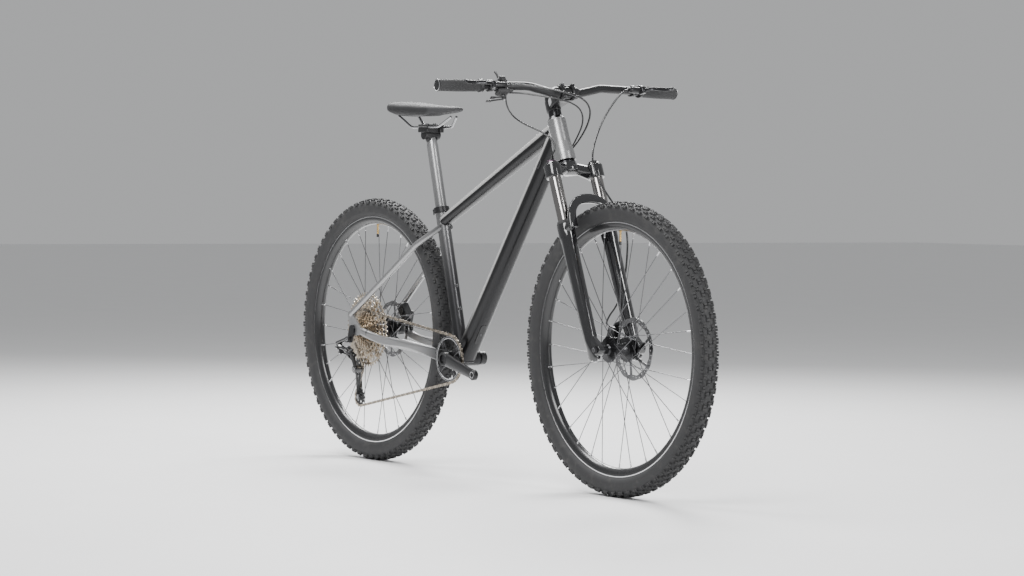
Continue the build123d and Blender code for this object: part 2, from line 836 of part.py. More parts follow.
def crank_arms():
    """Right arm, left arm and the spindle that joins them."""
    right = Rot(0, -crank_angle, 0) * crank_arm()
    left = Rot(0, 180 - crank_angle, 0) * mirror(crank_arm(), about=Plane.XZ)
    spindle = cross_rod(0, 0, -64, 64, spindle_radius, bore=9)
    hole = cross_rod(0, 0, -64, 64, spindle_radius)
    solids = [*biggest(right - hole), *biggest(left - hole), *spindle.solids()]
    return [Pos(bracket.X, 0, bracket.Z) * s for s in solids]


# ---------------------------------------------------------------- rear derailleur
link_way = Vector(40, 4, -8)
link_pin = Vector(0, 0.75, 0.66).normalized()
outer_pivot = Vector(-612, -97, 322)
inner_pivot = Vector(-616, -84, 307)
pin_radius = 3.0
pin_half = 11.0
cage_pivot = (-566.0, 258.0)


def knuckle_eye(centre, radius, half):
    return rod(centre - link_pin * half, centre + link_pin * half, radius)


def upper_knuckle():
    """Knuckle bolted to the hanger, carrying the two upper link pins."""
    face = -(dropout_outer + hanger_thickness)
    drum = cross_rod(hanger_x, hanger_z, face, face - 8, 9)
    bolt = cross_rod(hanger_x, hanger_z, face, face + hanger_thickness, 5.0)
    reach = rod((hanger_x - 3, face - 6, hanger_z + 2), outer_pivot + Vector(-12, 2, 8), 5)
    back = rod(outer_pivot + Vector(-12, 2, 8), inner_pivot + Vector(-12, 2, 2), 5)
    body = drum + bolt + reach + back
    for pivot in (outer_pivot, inner_pivot):
        for side in (-1, 1):
            ear = pivot + link_pin * (side * 8.5)
            body = body + rod(ear - link_pin * 2.2, ear + link_pin * 2.2, 5.2)
            body = body + rod(ear, ear + Vector(-12, 2, 2), 2.2)
    for pivot in (outer_pivot, inner_pivot):
        body = body - knuckle_eye(pivot, 9.5, 6.0)
        body = body + knuckle_eye(pivot, pin_radius, 8)
    return biggest(body)


def link(pivot):
    """One parallelogram link, bored for a pin at each end."""
    far = pivot + link_way
    body = knuckle_eye(pivot, 5.4, 5.6) + knuckle_eye(far, 5.4, 5.6)
    plane = Plane(origin=pivot, x_dir=link_pin, z_dir=link_way)
    web = extrude(plane * Rectangle(9, 5), amount=link_way.length)
    body = body + web
    for centre in (pivot, far):
        body = body - knuckle_eye(centre, pin_radius + running_clearance, 12)
    return biggest(body)


def lower_knuckle():
    """Knuckle on the lower link pins, with the bush that the cage swings on."""
    px, pz = cage_pivot
    body = cross_rod(px, pz, chain_y - 9.5, chain_y - 30, 11)
    for pivot in (outer_pivot, inner_pivot):
        far = pivot + link_way
        for side in (-1, 1):
            ear = far + link_pin * (side * 8.5)
            body = body + rod(ear - link_pin * 2.2, ear + link_pin * 2.2, 5.2)
            body = body + rod(ear, ear + Vector(13, 1, -6), 2.4)
        spine = far + Vector(14, 1, -6)
        body = body + rod(spine + link_pin * 10, spine - link_pin * 10, 4)
        body = body + rod(spine, (px, chain_y - 22, pz), 5)
    for pivot in (outer_pivot, inner_pivot):
        far = pivot + link_way
        body = body - knuckle_eye(far, 9.5, 6.0)
        body = body + knuckle_eye(far, pin_radius, 8)
    body = body + cross_rod(px, pz, chain_y - 10, chain_y - 3, 4.0)
    return biggest(body)


def derailleur_cage():
    """Two cage plates joined by the pulley bolts."""
    px, pz = cage_pivot
    circles = [(*guide_centre, 8), (px, pz, 10)]
    tail = [(px, pz, 8), (*guide_centre, 7), (*tension_centre, 9)]
    near, far = chain_y - 6.4, chain_y - 8.6
    outer = hull_plate(circles, near, far) + hull_plate(tail, near, far)
    inner = hull_plate([(*guide_centre, 8), (*tension_centre, 9)], chain_y + 4.4,
                       chain_y + 6.4)
    body = outer + inner
    window = hull_plate([(-577.5, 236.0, 5.5), (-575.0, 204.0, 4.5)], chain_y - 12,
                        chain_y + 12)
    body = body - window
    for centre in (guide_centre, tension_centre):
        body = body + cross_rod(*centre, chain_y - 8, chain_y + 6, 2.5)
    return biggest(body - cross_rod(px, pz, chain_y - 14, chain_y, 4.0 + running_clearance))


def pulley(centre, phase):
    wheel = sprocket(pulley_teeth, 1.9, phase, 3.0)
    hub_body = cross_rod(0, 0, -3.4, 3.4, 7)
    body = wheel + hub_body - cross_rod(0, 0, -5, 5, 2.5 + running_clearance)
    return Pos(centre[0], chain_y, centre[1]) * body


# ---------------------------------------------------------------- fork
crown_low = axle_to_crown - 48
cap_top = axle_to_crown - 8


def fork_crown():
    """Forged crown with its steerer and the lower bearing race."""
    y = stanchion_half_spacing
    n = stanchion_offset
    body = None
    for side in (-1, 1):
        socket = rod((n, side * y, crown_low), (n, side * y, cap_top - 4), 22.5)
        body = socket if body is None else body + socket
    bridge = [
        ((6, -y, crown_low + 20), (40, 26)),
        ((2, -36, crown_low + 30), (46, 26)),
        ((0, 0, crown_low + 35), (56, 26)),
        ((2, 36, crown_low + 30), (46, 26)),
        ((6, y, crown_low + 20), (40, 26)),
    ]
    faces = []
    for origin, size in bridge:
        lift = Plane(origin=(origin[0] + 8, origin[1], origin[2]), x_dir=(1, 0, 0),
                     z_dir=(0, 1, 0))
        faces.append(lift * RectangleRounded(size[0], size[1], 9))
    body = body + loft(faces)
    body = body + rod((0, 0, crown_low + 30), (0, 0, axle_to_crown - 0.3), 27)
    for side in (-1, 1):
        body = body - rod((n, side * y, crown_low - 1), (n, side * y, cap_top - 4),
                          stanchion_radius)
    for side in (-1, 1):
        body = body - rod((n, side * y, cap_top - 4), (n, side * y, cap_top + 8), 19)
    seat = rod((0, 0, axle_to_crown - 0.3), (0, 0, head_bottom - face_gap), 25.5)
    taper_top = head_bottom + 52
    straight = rod((0, 0, taper_top), (0, 0, stem_top - 2), steerer_radius)
    low = rod((0, 0, axle_to_crown - 30), (0, 0, head_bottom + 9), steerer_taper_radius)
    cone = rod((0, 0, head_bottom + 9), (0, 0, taper_top), steerer_taper_radius,
               steerer_radius)
    hollow = rod((0, 0, axle_to_crown - 31), (0, 0, stem_top - 30), steerer_radius - 2.5)
    steerer = low + cone + straight - hollow
    plug = rod((0, 0, axle_to_crown - 40), (0, 0, head_bottom), steerer_taper_radius)
    return [*biggest(body - plug), *biggest(seat - plug), *biggest(steerer)]


spacer_low = head_top + 8.0
stem_low = spacer_low + 16.0
stem_top = stem_low + stem_height


def stanchions():
    bars = []
    for side in (-1, 1):
        bars.append(rod((stanchion_offset, side * stanchion_half_spacing, 150),
                        (stanchion_offset, side * stanchion_half_spacing, cap_top - 4),
                        stanchion_radius, bore=stanchion_radius - 2.5))
    return bars


def fork_caps():
    """Top caps of the legs: the right one is the lockout dial."""
    caps = []
    for side in (-1, 1):
        y = side * stanchion_half_spacing
        body = rod((stanchion_offset, y, cap_top - 4), (stanchion_offset, y, cap_top), 19)
        knob = rod((stanchion_offset, y, cap_top), (stanchion_offset, y, cap_top + 7), 12.5)
        caps += biggest(body + knob)
    return caps


leg_bottom = -22.0
fork_bore = stanchion_radius + slide_clearance


def fork_leg(side):
    y = side * stanchion_half_spacing
    n = stanchion_offset
    body = rod((n, y, leg_bottom), (n, y, 40), 15, lower_leg_radius - 3)
    body = body + rod((n, y, 40), (n, y, 300), lower_leg_radius - 3, lower_leg_radius - 1)
    body = body + rod((n, y, 300), (n, y, seal_height - 10), lower_leg_radius + 0.5)
    inner = side * front_hub_width / 2
    lug = rod((fork_offset, inner, 0), (fork_offset, y + side * 8, 0), 15)
    web = rod((n + 4, y, 0), (fork_offset - 2, y - side * 2, 0), 9)
    body = body + lug + web
    return body


def fork_lowers():
    """Both sliding legs joined by the arch over the tyre, in front of the legs."""
    y = stanchion_half_spacing
    body = fork_leg(-1) + fork_leg(1)
    arch_n0, arch_n1 = 50.0, 64.0
    outer = ThreePointArc((-(y + 12), 330), (0, 413), (y + 12, 330))
    inner = ThreePointArc((y - 14, 330), (0, 386), (14 - y, 330))
    edges = [outer, Line((y + 12, 330), (y - 14, 330)), inner,
             Line((14 - y, 330), (-(y + 12), 330))]
    plane = Plane(origin=(arch_n0, 0, 0), x_dir=(0, 1, 0), z_dir=(1, 0, 0))
    body = body + extrude(plane * make_face(edges), amount=arch_n1 - arch_n0)
    for side in (-1, 1):
        foot = box((stanchion_offset, side * y - 13, 316), (arch_n1, side * y + 13, 340))
        body = body + foot
    for side in (-1, 1):
        body = body - rod((stanchion_offset, side * y, 40),
                          (stanchion_offset, side * y, seal_height + 2), fork_bore)
    axle = rod((fork_offset, -100, 0), (fork_offset, 100, 0), front_axle_radius)
    inner = front_hub_width / 2
    hub_room = rod((fork_offset, -inner, 0), (fork_offset, inner, 0), 13)
    lug_end = stanchion_half_spacing + 8
    head_room = rod((fork_offset, -100, 0), (fork_offset, -lug_end, 0), 10.4)
    return biggest(body - axle - hub_room - head_room)


def fork_seals():
    rings = []
    for side in (-1, 1):
        y = side * stanchion_half_spacing
        ring = rod((stanchion_offset, y, seal_height - 10), (stanchion_offset, y, seal_height),
                   lower_leg_radius + 1, 18.5, bore=fork_bore)
        rings += biggest(ring)
    return rings


def front_thru_axle():
    y = stanchion_half_spacing + 8
    shaft = rod((fork_offset, -y, 0), (fork_offset, y, 0), front_axle_radius)
    head = rod((fork_offset, -y - 6, 0), (fork_offset, -y, 0), 10)
    socket = rod((fork_offset, -y - 7, 0), (fork_offset, -y - 1.5, 0), 3)
    return shaft + head - socket


# ---------------------------------------------------------------- cockpit
stem_mid = (stem_low + stem_top) / 2
bar_n = stem_length
bar_t = stem_mid + 6.0
bend_in = 45.0
bend_out = 115.0
bar_rise = 15.0
end_cap = 3.0
end_n = bar_n - 23.0
end_t = bar_t + 20.0


def bar_points():
    root = Vector(bar_n + 1.0, bend_out, bar_t + bar_rise)
    straight = Vector(end_n, bar_half_width, end_t) - root
    slant = straight.length / (bar_half_width - bend_out)
    sleeve_end = bar_half_width - grip_length + (grip_length - end_cap) / slant
    end = root + straight * ((sleeve_end - bend_out) / (bar_half_width - bend_out))
    half = [(bar_n, bend_in, bar_t), tuple(root), tuple(end)]
    right = [(n, -y, t) for n, y, t in reversed(half)]
    return right + half


def on_bar(distance):
    """Place on the right bar end: X forward, Y up, Z outboard, origin on the bar's axis."""
    share = (distance - bend_out) / (bar_half_width - bend_out)
    root = Vector(bar_n + 1.0, -bend_out, bar_t + bar_rise)
    end = Vector(end_n, -bar_half_width, end_t)
    return Plane(origin=root + (end - root) * share, x_dir=(1, 0, 0), z_dir=end - root).location


def handlebar():
    path = FilletPolyline(*[Vector(*p) for p in bar_points()], radius=[90, 60, 60, 90])
    plane = Plane(origin=path @ 0, z_dir=path % 0)
    bar = sweep(plane * Circle(bar_radius), path=path)
    bar = bar - sweep(plane * Circle(bar_radius - 2.2), path=path)
    clamp = rod((bar_n, -32, bar_t), (bar_n, 32, bar_t), bar_clamp_radius)
    for side in (-1, 1):
        clamp = clamp + rod((bar_n, side * 32, bar_t), (bar_n, side * 42, bar_t),
                            bar_clamp_radius, bar_radius)
    clamp = clamp - rod((bar_n, -43, bar_t), (bar_n, 43, bar_t), bar_radius)
    return biggest(bar + clamp)


def stem():
    """Stem body: steerer clamp, arm and the rear half of the bar clamp."""
    body = rod((0, 0, stem_low), (0, 0, stem_top), 18.5)
    arm = Plane(origin=(4, 0, stem_mid), x_dir=(0, 1, 0), z_dir=(bar_n - 18, 0, 6))
    neck = extrude(arm * RectangleRounded(32, 30, 8), amount=bar_n - 26)
    body = body + neck
    saddle_block = box((bar_n - 20, -24, bar_t - 19), (bar_n - 1, 24, bar_t + 19))
    body = body + saddle_block
    body = body + box((-25, -7, stem_low + 3), (-14, 7, stem_top - 3))
    body = body - box((-30, -1.2, stem_low - 1), (-10, 1.2, stem_top + 1))
    body = body - rod((0, 0, stem_low - 1), (0, 0, stem_top + 1), steerer_radius)
    return biggest(body - rod((bar_n, -40, bar_t), (bar_n, 40, bar_t), bar_clamp_radius))


def stem_faceplate():
    """Front half of the bar clamp, its four bolts and the two steerer clamp bolts."""
    plate = box((bar_n + 1, -24, bar_t - 19), (bar_n + 19, 24, bar_t + 19))
    plate = plate - box((bar_n - 1, -13, bar_t - 7), (bar_n + 30, 13, bar_t + 7))
    plate = plate - rod((bar_n, -40, bar_t), (bar_n, 40, bar_t), bar_clamp_radius)
    bolts = []
    for side in (-1, 1):
        for high in (-1, 1):
            y, t = side * 18, bar_t + high * 15.4
            bolts.append(rod((bar_n + 19, y, t), (bar_n + 22, y, t), 3.2))
    for t in (stem_low + 10, stem_top - 10):
        bolts.append(rod((-21.2, 7, t), (-21.2, 10.5, t), 3.4))
    return [*biggest(plate), *bolts]


def headset_spacers():
    """Dust cover, spacers and the top cap with its bolt."""
    cover = rod((0, 0, head_top + face_gap), (0, 0, spacer_low), 23.5, 18.5,
                bore=steerer_radius)
    rings = [cover]
    for index in range(2):
        low = spacer_low + index * 8
        rings.append(rod((0, 0, low), (0, 0, low + 8), 17, bore=steerer_radius))
    cap = rod((0, 0, stem_top), (0, 0, stem_top + 4), 17)
    bolt = rod((0, 0, stem_top + 4), (0, 0, stem_top + 5.5), 4)
    return [*rings, cap, bolt]


def grips():
    """Rubber grips with their inner clamping rings and end caps."""
    start = bar_half_width - grip_length
    sleeve = rod((0, 0, 10), (0, 0, grip_length - end_cap), grip_radius, bore=bar_radius)
    ring = rod((0, 0, 0), (0, 0, 10), grip_radius + 1, bore=bar_radius)
    cap = rod((0, 0, grip_length - end_cap), (0, 0, grip_length), grip_radius)
    solids = []
    for piece in (sleeve, ring, cap):
        placed = STEER * (on_bar(start) * piece)
        solids += both_sides(placed)
    return solids


lever_seat = 226.0
shifter_seat = 206.0
lockout_seat = 186.0
lever_pivot = (33.0, -11.0, 8.0)
blade_length = 92.0


def clamp_band(outer, width):
    return rod((0, 0, -width / 2), (0, 0, width / 2), outer, bore=bar_radius)


def lever_body():
    """Brake master cylinder and its bar clamp, in bar coordinates."""
    body = clamp_band(15.5, 13)
    body = body + rod((24, -8, -34), (24, -8, 10), 8.5)
    body = body + rod((24, -8, 10), (33, -11, 10), 6)
    body = body + box((10, -12, -6), (26, 3, 6))
    for y in (-18.5, -3.5):
        body = body + rod((33, y - 1.5, 8), (33, y + 1.5, 8), 6.5)
        body = body + box((24, y - 1.5, 2), (33, y + 1.5, 13))
    body = body - rod((33, -17, 8), (33, -5, 8), 9)
    body = body + rod((33, -19, 8), (33, -3, 8), 2.5)
    body = body - rod((0, 0, -12), (0, 0, 12), bar_radius)
    return biggest(body)


def lever_blade():
    """Brake lever blade, hooked at its finger end, in bar coordinates."""
    px, py, pz = lever_pivot
    eye = rod((px, py - 5.6, pz), (px, py + 5.6, pz), 6.2)
    points = [(px, py, pz), (px + 13, py, pz + 26), (px + 12, py, pz + 62),
              (px + 20, py, pz + blade_length)]
    path = FilletPolyline(*[Vector(*p) for p in points], radius=[30, 40])
    plane = Plane(origin=path @ 0, x_dir=(0, 1, 0), z_dir=path % 0)
    blade = sweep(plane * RectangleRounded(9.5, 5.5, 2.2), path=path)
    body = eye + blade
    return biggest(body - rod((px, py - 8, pz), (px, py + 8, pz), 2.5 + running_clearance))


def shifter_body():
    """Shifter pod under the bar, with its clamp band and lever post."""
    body = clamp_band(15, 8)
    body = body + box((2, -18, -4), (13, -8, 4))
    pod = box((0, -34, -22), (34, -17, 14))
    body = body + fillet(pod.edges().filter_by(Axis.Y), 7)
    body = body + rod((17, -46, -4), (17, -34, -4), 3.0)
    return biggest(body - rod((0, 0, -12), (0, 0, 12), bar_radius))


def thumb_lever(low, high, reach):
    """Shift lever about the pod's post, swept outboard and back towards the rider."""
    plane = Plane(origin=(17, low, -4), x_dir=(1, 0, 0), z_dir=(0, 1, 0))
    px, pz = 17, -4
    body = rod((px, low, pz), (px, high, pz), 6)
    tip = (px + reach[0], (low + high) / 2, pz + reach[1])
    body = body + rod((px, (low + high) / 2, pz), tip, 2.2)
    body = body + rod((tip[0], low, tip[2]), (tip[0], high, tip[2]), 5.5)
    return biggest(body - rod((px, low - 1, pz), (px, high + 1, pz), 3.0 + running_clearance))


def lockout_body():
    """Fork lockout remote: clamp band and housing on top of the bar."""
    body = clamp_band(15, 9)
    body = body + box((-8, 9, -5), (12, 20, 5))
    body = body + rod((2, 17, -5), (2, 17, 8), 9)
    body = body + rod((2, 17, 8), (2, 17, 14), 2.5)
    return biggest(body - rod((0, 0, -12), (0, 0, 12), bar_radius))


def lockout_lever():
    """Hooked lockout paddle standing above the bar."""
    body = rod((2, 17, 8.3), (2, 17, 13.7), 6)
    body = body + rod((2, 17, 11), (-8, 42, 11), 2.6)
    body = body + rod((-8, 42, 7), (-8, 42, 15), 4.2)
    return biggest(body - rod((2, 17, 7), (2, 17, 15), 2.5 + running_clearance))


# ---------------------------------------------------------------- saddle
post_top_z = 916.0
post_out = (post_top_z - seat_top.Z) / math.sin(seat_slope)
cradle = seat_top + seat_up * post_out
cradle_radius = 14.0
rail_y = 22.0
rail_radius = 3.5
rail_z = cradle.Z + cradle_radius + 7.0


def seatpost():
    """Seatpost tube with its cross-drum head."""
    low = seat_top - seat_up * 110
    shoulder = cradle - seat_up * 28
    tube = rod(low, shoulder, seatpost_radius)
    neck = rod(shoulder, cradle - seat_up * 8, seatpost_radius, cradle_radius - 3.5)
    head = cross_rod(cradle.X, cradle.Z, -25, 25, cradle_radius)
    hollow = rod(low, cradle - seat_up * 32, seatpost_radius - 2.3)
    return biggest(tube + neck + head - hollow)


def saddle_rails():
    """Two rails and the plates and bolts that clamp them to the post."""
    solids = []
    x = cradle.X
    for side in (-1, 1):
        y = side * rail_y
        points = [(x + 112, side * 9, rail_z + 28), (x + 70, y, rail_z), (x - 60, y, rail_z),
                  (x - 112, side * 33, rail_z + 34)]
        path = FilletPolyline(*[Vector(*p) for p in points], radius=[30, 30])
        plane = Plane(origin=path @ 0, z_dir=path % 0)
        solids += biggest(sweep(plane * Circle(rail_radius), path=path))
    low_plate = box((x - 22, -29, cradle.Z + 5), (x + 22, 29, rail_z - 0.5))
    low_plate = low_plate - cross_rod(x, cradle.Z, -30, 30, cradle_radius + 0.3)
    top_plate = box((x - 22, -29, rail_z + 0.5), (x + 22, 29, rail_z + 8))
    for side in (-1, 1):
        groove = cross_bar(x, side * rail_y, rail_z)
        low_plate = low_plate - groove
        top_plate = top_plate - groove
    bolts = []
    for end in (-1, 1):
        for plate_name in ("low", "top"):
            hole = rod((x + end * 18, 0, cradle.Z), (x + end * 18, 0, rail_z + 10), 2.5)
            if plate_name == "low":
                low_plate = low_plate - hole
            else:
                top_plate = top_plate - hole
        bolt = rod((x + end * 18, 0, cradle.Z + 3), (x + end * 18, 0, rail_z + 8), 2.5)
        bolts += biggest(bolt + rod((x + end * 18, 0, rail_z + 8),
                                    (x + end * 18, 0, rail_z + 11), 4))
    drum = cross_rod(x, cradle.Z, -30, 30, cradle_radius + 0.3)
    bolts = [biggest(b - drum)[0] for b in bolts]
    return [*solids, *low_plate.solids(), *biggest(top_plate), *bolts]


def cross_bar(x, y, z):
    return rod((x - 40, y, z), (x + 40, y, z), rail_radius)


def saddle():
    """Padded saddle over its shell, nose forward."""
    x = cradle.X
    stations = [(132, 30, 16, 44), (112, 42, 26, 43), (60, 52, 32, 43), (10, 78, 36, 44),
                (-50, 126, 36, 48), (-95, 144, 34, 52), (-128, 128, 22, 57), (-136, 96, 12, 58)]
    sections = []
    for dx, across, deep, lift in stations:
        sections.append(((x + dx, 0, rail_z + lift), (-1, 0, 0), (across, deep),
                         0.45 * deep))
    body = loft_between(sections)
    return biggest(body)


# ---------------------------------------------------------------- hoses
hose_radius = 2.5
cable_radius = 2.2
rear_hose_points = [
    (339.0, -193.2, 1029.6), (350, -164, 1032), (356, -118, 1029), (367, -66, 1021),
    (374, -14, 1012), (371, 32, 997), (357, 60, 970), (333, 67, 934), (301, 64, 896),
    (273, 52, 864), (256, 41, 846), (250, 33, 839), (250, 23.3, 839),
]
shift_cable_points = [
    (339.9, -185.4, 1010.5), (347, -158, 1011), (354, -112, 1006), (363, -62, 1001),
    (366, -12, 991), (360, 26, 974), (344, 46, 942), (315, 47, 902), (282, 44, 862),
    (255, 37, 836), (242, 31, 826), (242, 23.3, 826),
]
lockout_cable_points = [
    (310.1, -180.2, 1045), (305, -166, 1044), (280, -154, 1022), (262, -142, 986),
    (264, -124, 956), (284, -103, 936), (310, -82, 922), (334, -64, 908), (354, -54, 889),
    (364, -56, 868), (352.9, -66, 854), (357.9, -66, 841.4),
]
front_hose_points = [
    (339.0, 193.2, 1030), (350, 166, 1024), (338, 140, 988), (327, 116, 942),
    (342, 84, 894), (376, 50, 855.5), (395, 42, 823), (417.5, 48, 782.5), (441.5, 62, 743.5),
    (464.5, 84, 701.5), (467, 99, 650.5), (464, 99, 585), (461, 92, 520), (450, 78, 472),
    (436, 64, 446), (437, 52, 420), (472.8, 50, 414.9),
]


def main():
    places, phases, links = chain_rollers()
    print("chain links", links)
    write("head_tube", head_tube())
    write("down_tube", down_tube())
    write("top_tube", top_tube())
    write("seat_tube", seat_tube())
    write("bottom_bracket_shell", bracket_shell())
    write("frame_bearings", headset_bearings(), bracket_cups())
    write("chainstays", chainstays())
    write("seatstays", seatstays())
    write("dropouts", dropouts())
    write("derailleur_hanger", derailleur_hanger())
    write("rear_thru_axle", rear_thru_axle())
    write("seat_clamp", seat_clamp())
    write("frame_fittings", frame_fittings())
    write("rear_brake_caliper", rear_brake())

    write("fork_crown", [STEER * s for s in fork_crown()])
    write("stanchions", [STEER * s for s in stanchions()])
    write("fork_caps", [STEER * s for s in fork_caps()])
    write("fork_lowers", [STEER * s for s in fork_lowers() + fork_seals()])
    write("front_thru_axle", STEER * front_thru_axle())
    write("front_brake_caliper", biggest((STEER * front_brake()) - (STEER * fork_leg(1))))

    for name, centre, width, axle_radius, rotor_y, left_y, right_y in (
            ("front", front_axle, front_hub_width, front_axle_radius, front_rotor_y, 24, -32),
            ("rear", rear_axle, rear_hub_width, rear_axle_radius, rear_rotor_y, 33, -20)):
        write(f"{name}_tyre", place(tyre(), centre))
        write(f"{name}_rim", place([rim(), valve()], centre))
        write(f"{name}_spokes", place(spokes(left_y, right_y), centre))
        body = hub(width, axle_radius + running_clearance, left_y, right_y, rotor_y,
                   name == "rear")
        write(f"{name}_hub", place(body, centre))
        write(f"{name}_rotor", place(rotor(rotor_y), centre))

    write("chain", chain(places))
    write("chainring", chainring(phases[ring_centre]))
    write("crank_arms", crank_arms())
    write("cassette", place(cassette_body(phases[cog_centre]), rear_axle))
    write("derailleur_upper_knuckle", upper_knuckle())
    write("derailleur_outer_link", link(outer_pivot))
    write("derailleur_inner_link", link(inner_pivot))
    write("derailleur_lower_knuckle", lower_knuckle())
    write("derailleur_cage", derailleur_cage())
    write("guide_pulley", pulley(guide_centre, phases[guide_centre]))
    write("tension_pulley", pulley(tension_centre, phases[tension_centre]))

    write("handlebar", [STEER * s for s in handlebar()])
    write("stem", [STEER * s for s in stem()])
    write("stem_faceplate", [STEER * s for s in stem_faceplate()])
    write("headset_spacers", [STEER * s for s in headset_spacers()])
    write("grips", grips())
    lever = STEER * on_bar(lever_seat)
    write("brake_lever_bodies", both_sides(lever * lever_body()[0]))
    right_blade = lever * lever_blade()[0]
    write("right_brake_lever", right_blade)
    write("left_brake_lever", mirror(right_blade, about=Plane.XZ))
    pod = STEER * on_bar(shifter_seat)
    write("upshift_lever", pod * thumb_lever(-39.5, -35, (-6, 30))[0])
    write("downshift_lever", pod * thumb_lever(-45, -40.5, (-16, 38))[0])
    remote = STEER * on_bar(lockout_seat)
    write("bar_controls", pod * shifter_body()[0], remote * lockout_body()[0])
    write("lockout_lever", remote * lockout_lever()[0])

    write("seatpost", seatpost())
    write("saddle_rails", saddle_rails())
    write("saddle", saddle())

    write("rear_brake_hose", hose(rear_hose_points, hose_radius))
    write("shift_cable", hose(shift_cable_points, cable_radius))
    write("lockout_cable", hose(lockout_cable_points, cable_radius))
    write("front_brake_hose", hose(front_hose_points, hose_radius))


main()
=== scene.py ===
from math import (asin, atan2, copysign, cos, degrees, dist, exp, hypot, pi, radians, sin,
                  tau)

import bmesh
import bpy
from mathutils import Matrix, Vector


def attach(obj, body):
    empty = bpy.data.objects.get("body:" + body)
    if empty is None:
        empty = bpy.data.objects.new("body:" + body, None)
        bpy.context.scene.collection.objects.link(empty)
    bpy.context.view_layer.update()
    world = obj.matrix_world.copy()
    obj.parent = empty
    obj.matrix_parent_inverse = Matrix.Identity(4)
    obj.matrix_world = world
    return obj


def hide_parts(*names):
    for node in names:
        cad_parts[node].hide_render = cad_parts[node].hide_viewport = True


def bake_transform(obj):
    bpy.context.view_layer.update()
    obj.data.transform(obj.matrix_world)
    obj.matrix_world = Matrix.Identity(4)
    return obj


# Looks of a hardtail mountain bicycle. Shapes are drawn in millimetres and made in metres.

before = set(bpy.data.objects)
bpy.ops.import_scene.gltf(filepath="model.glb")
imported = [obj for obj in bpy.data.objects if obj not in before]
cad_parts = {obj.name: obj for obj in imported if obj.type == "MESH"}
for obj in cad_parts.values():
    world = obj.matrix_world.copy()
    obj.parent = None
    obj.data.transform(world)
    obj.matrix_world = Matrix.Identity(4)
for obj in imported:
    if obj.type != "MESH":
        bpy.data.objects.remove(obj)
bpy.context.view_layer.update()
MM = 0.001
wheelbase, wheel_r = 1130.0, 370.0
bracket = Vector((-129.11, 0, 310.0))
front_axle = Vector((wheelbase / 2, 0, wheel_r))
rear_axle = Vector((-wheelbase / 2, 0, wheel_r))
chain_y = -46.5
head_slope, seat_slope = radians(68.5), radians(74.5)
steer_up = Vector((-cos(head_slope), 0, sin(head_slope)))
steer_fwd = Vector((sin(head_slope), 0, cos(head_slope)))
steer_o = front_axle - steer_fwd * 46
seat_up = Vector((-cos(seat_slope), 0, sin(seat_slope)))
seat_fwd = Vector((sin(seat_slope), 0, cos(seat_slope)))
seat_top = bracket + seat_up * 420
head_low, head_high = 523.0, 638.0
bar_n, bar_t = 60.0, 688.0
chain_pitch, cog_step, chain_cog = 12.7, 3.55, 4
cog_teeth = (51, 45, 39, 33, 28, 24, 21, 18, 16, 14, 12, 10)
ring_teeth, pulley_teeth = 32, 12
crank_length, crank_lean = 170, radians(-11.1)
leg_n, leg_y, axle_n = 26.0, 66.0, 46.0
cradle = Vector((-297.2, 0, 916))
rail_z, rail_y = 937.0, 22.0
LEFT = Vector((0, 1, 0))


def steer(n, y, t):
    return steer_o + steer_fwd * n + steer_up * t + LEFT * y


# ------------------------------------------------------------------ camera
def make_camera():
    yaw, pitch, roll = 2.5277814, -0.0331526, 0.0101082
    ahead = Vector((cos(pitch) * cos(yaw), cos(pitch) * sin(yaw),
                    sin(pitch)))
    right = ahead.cross(Vector((0, 0, 1))).normalized()
    up = right.cross(ahead)
    x_dir = right * cos(roll) + up * sin(roll)
    y_dir = up * cos(roll) - right * sin(roll)
    data = bpy.data.cameras.new("camera")
    data.lens = 97.43
    data.sensor_width = 36
    data.clip_end = 100
    camera = bpy.data.objects.new("camera", data)
    turn = Matrix((x_dir, y_dir, -ahead)).transposed().to_4x4()
    camera.matrix_world = Matrix.Translation((6.067954, -4.207015, 0.750505)) @ turn
    bpy.context.scene.collection.objects.link(camera)
    bpy.context.scene.camera = camera


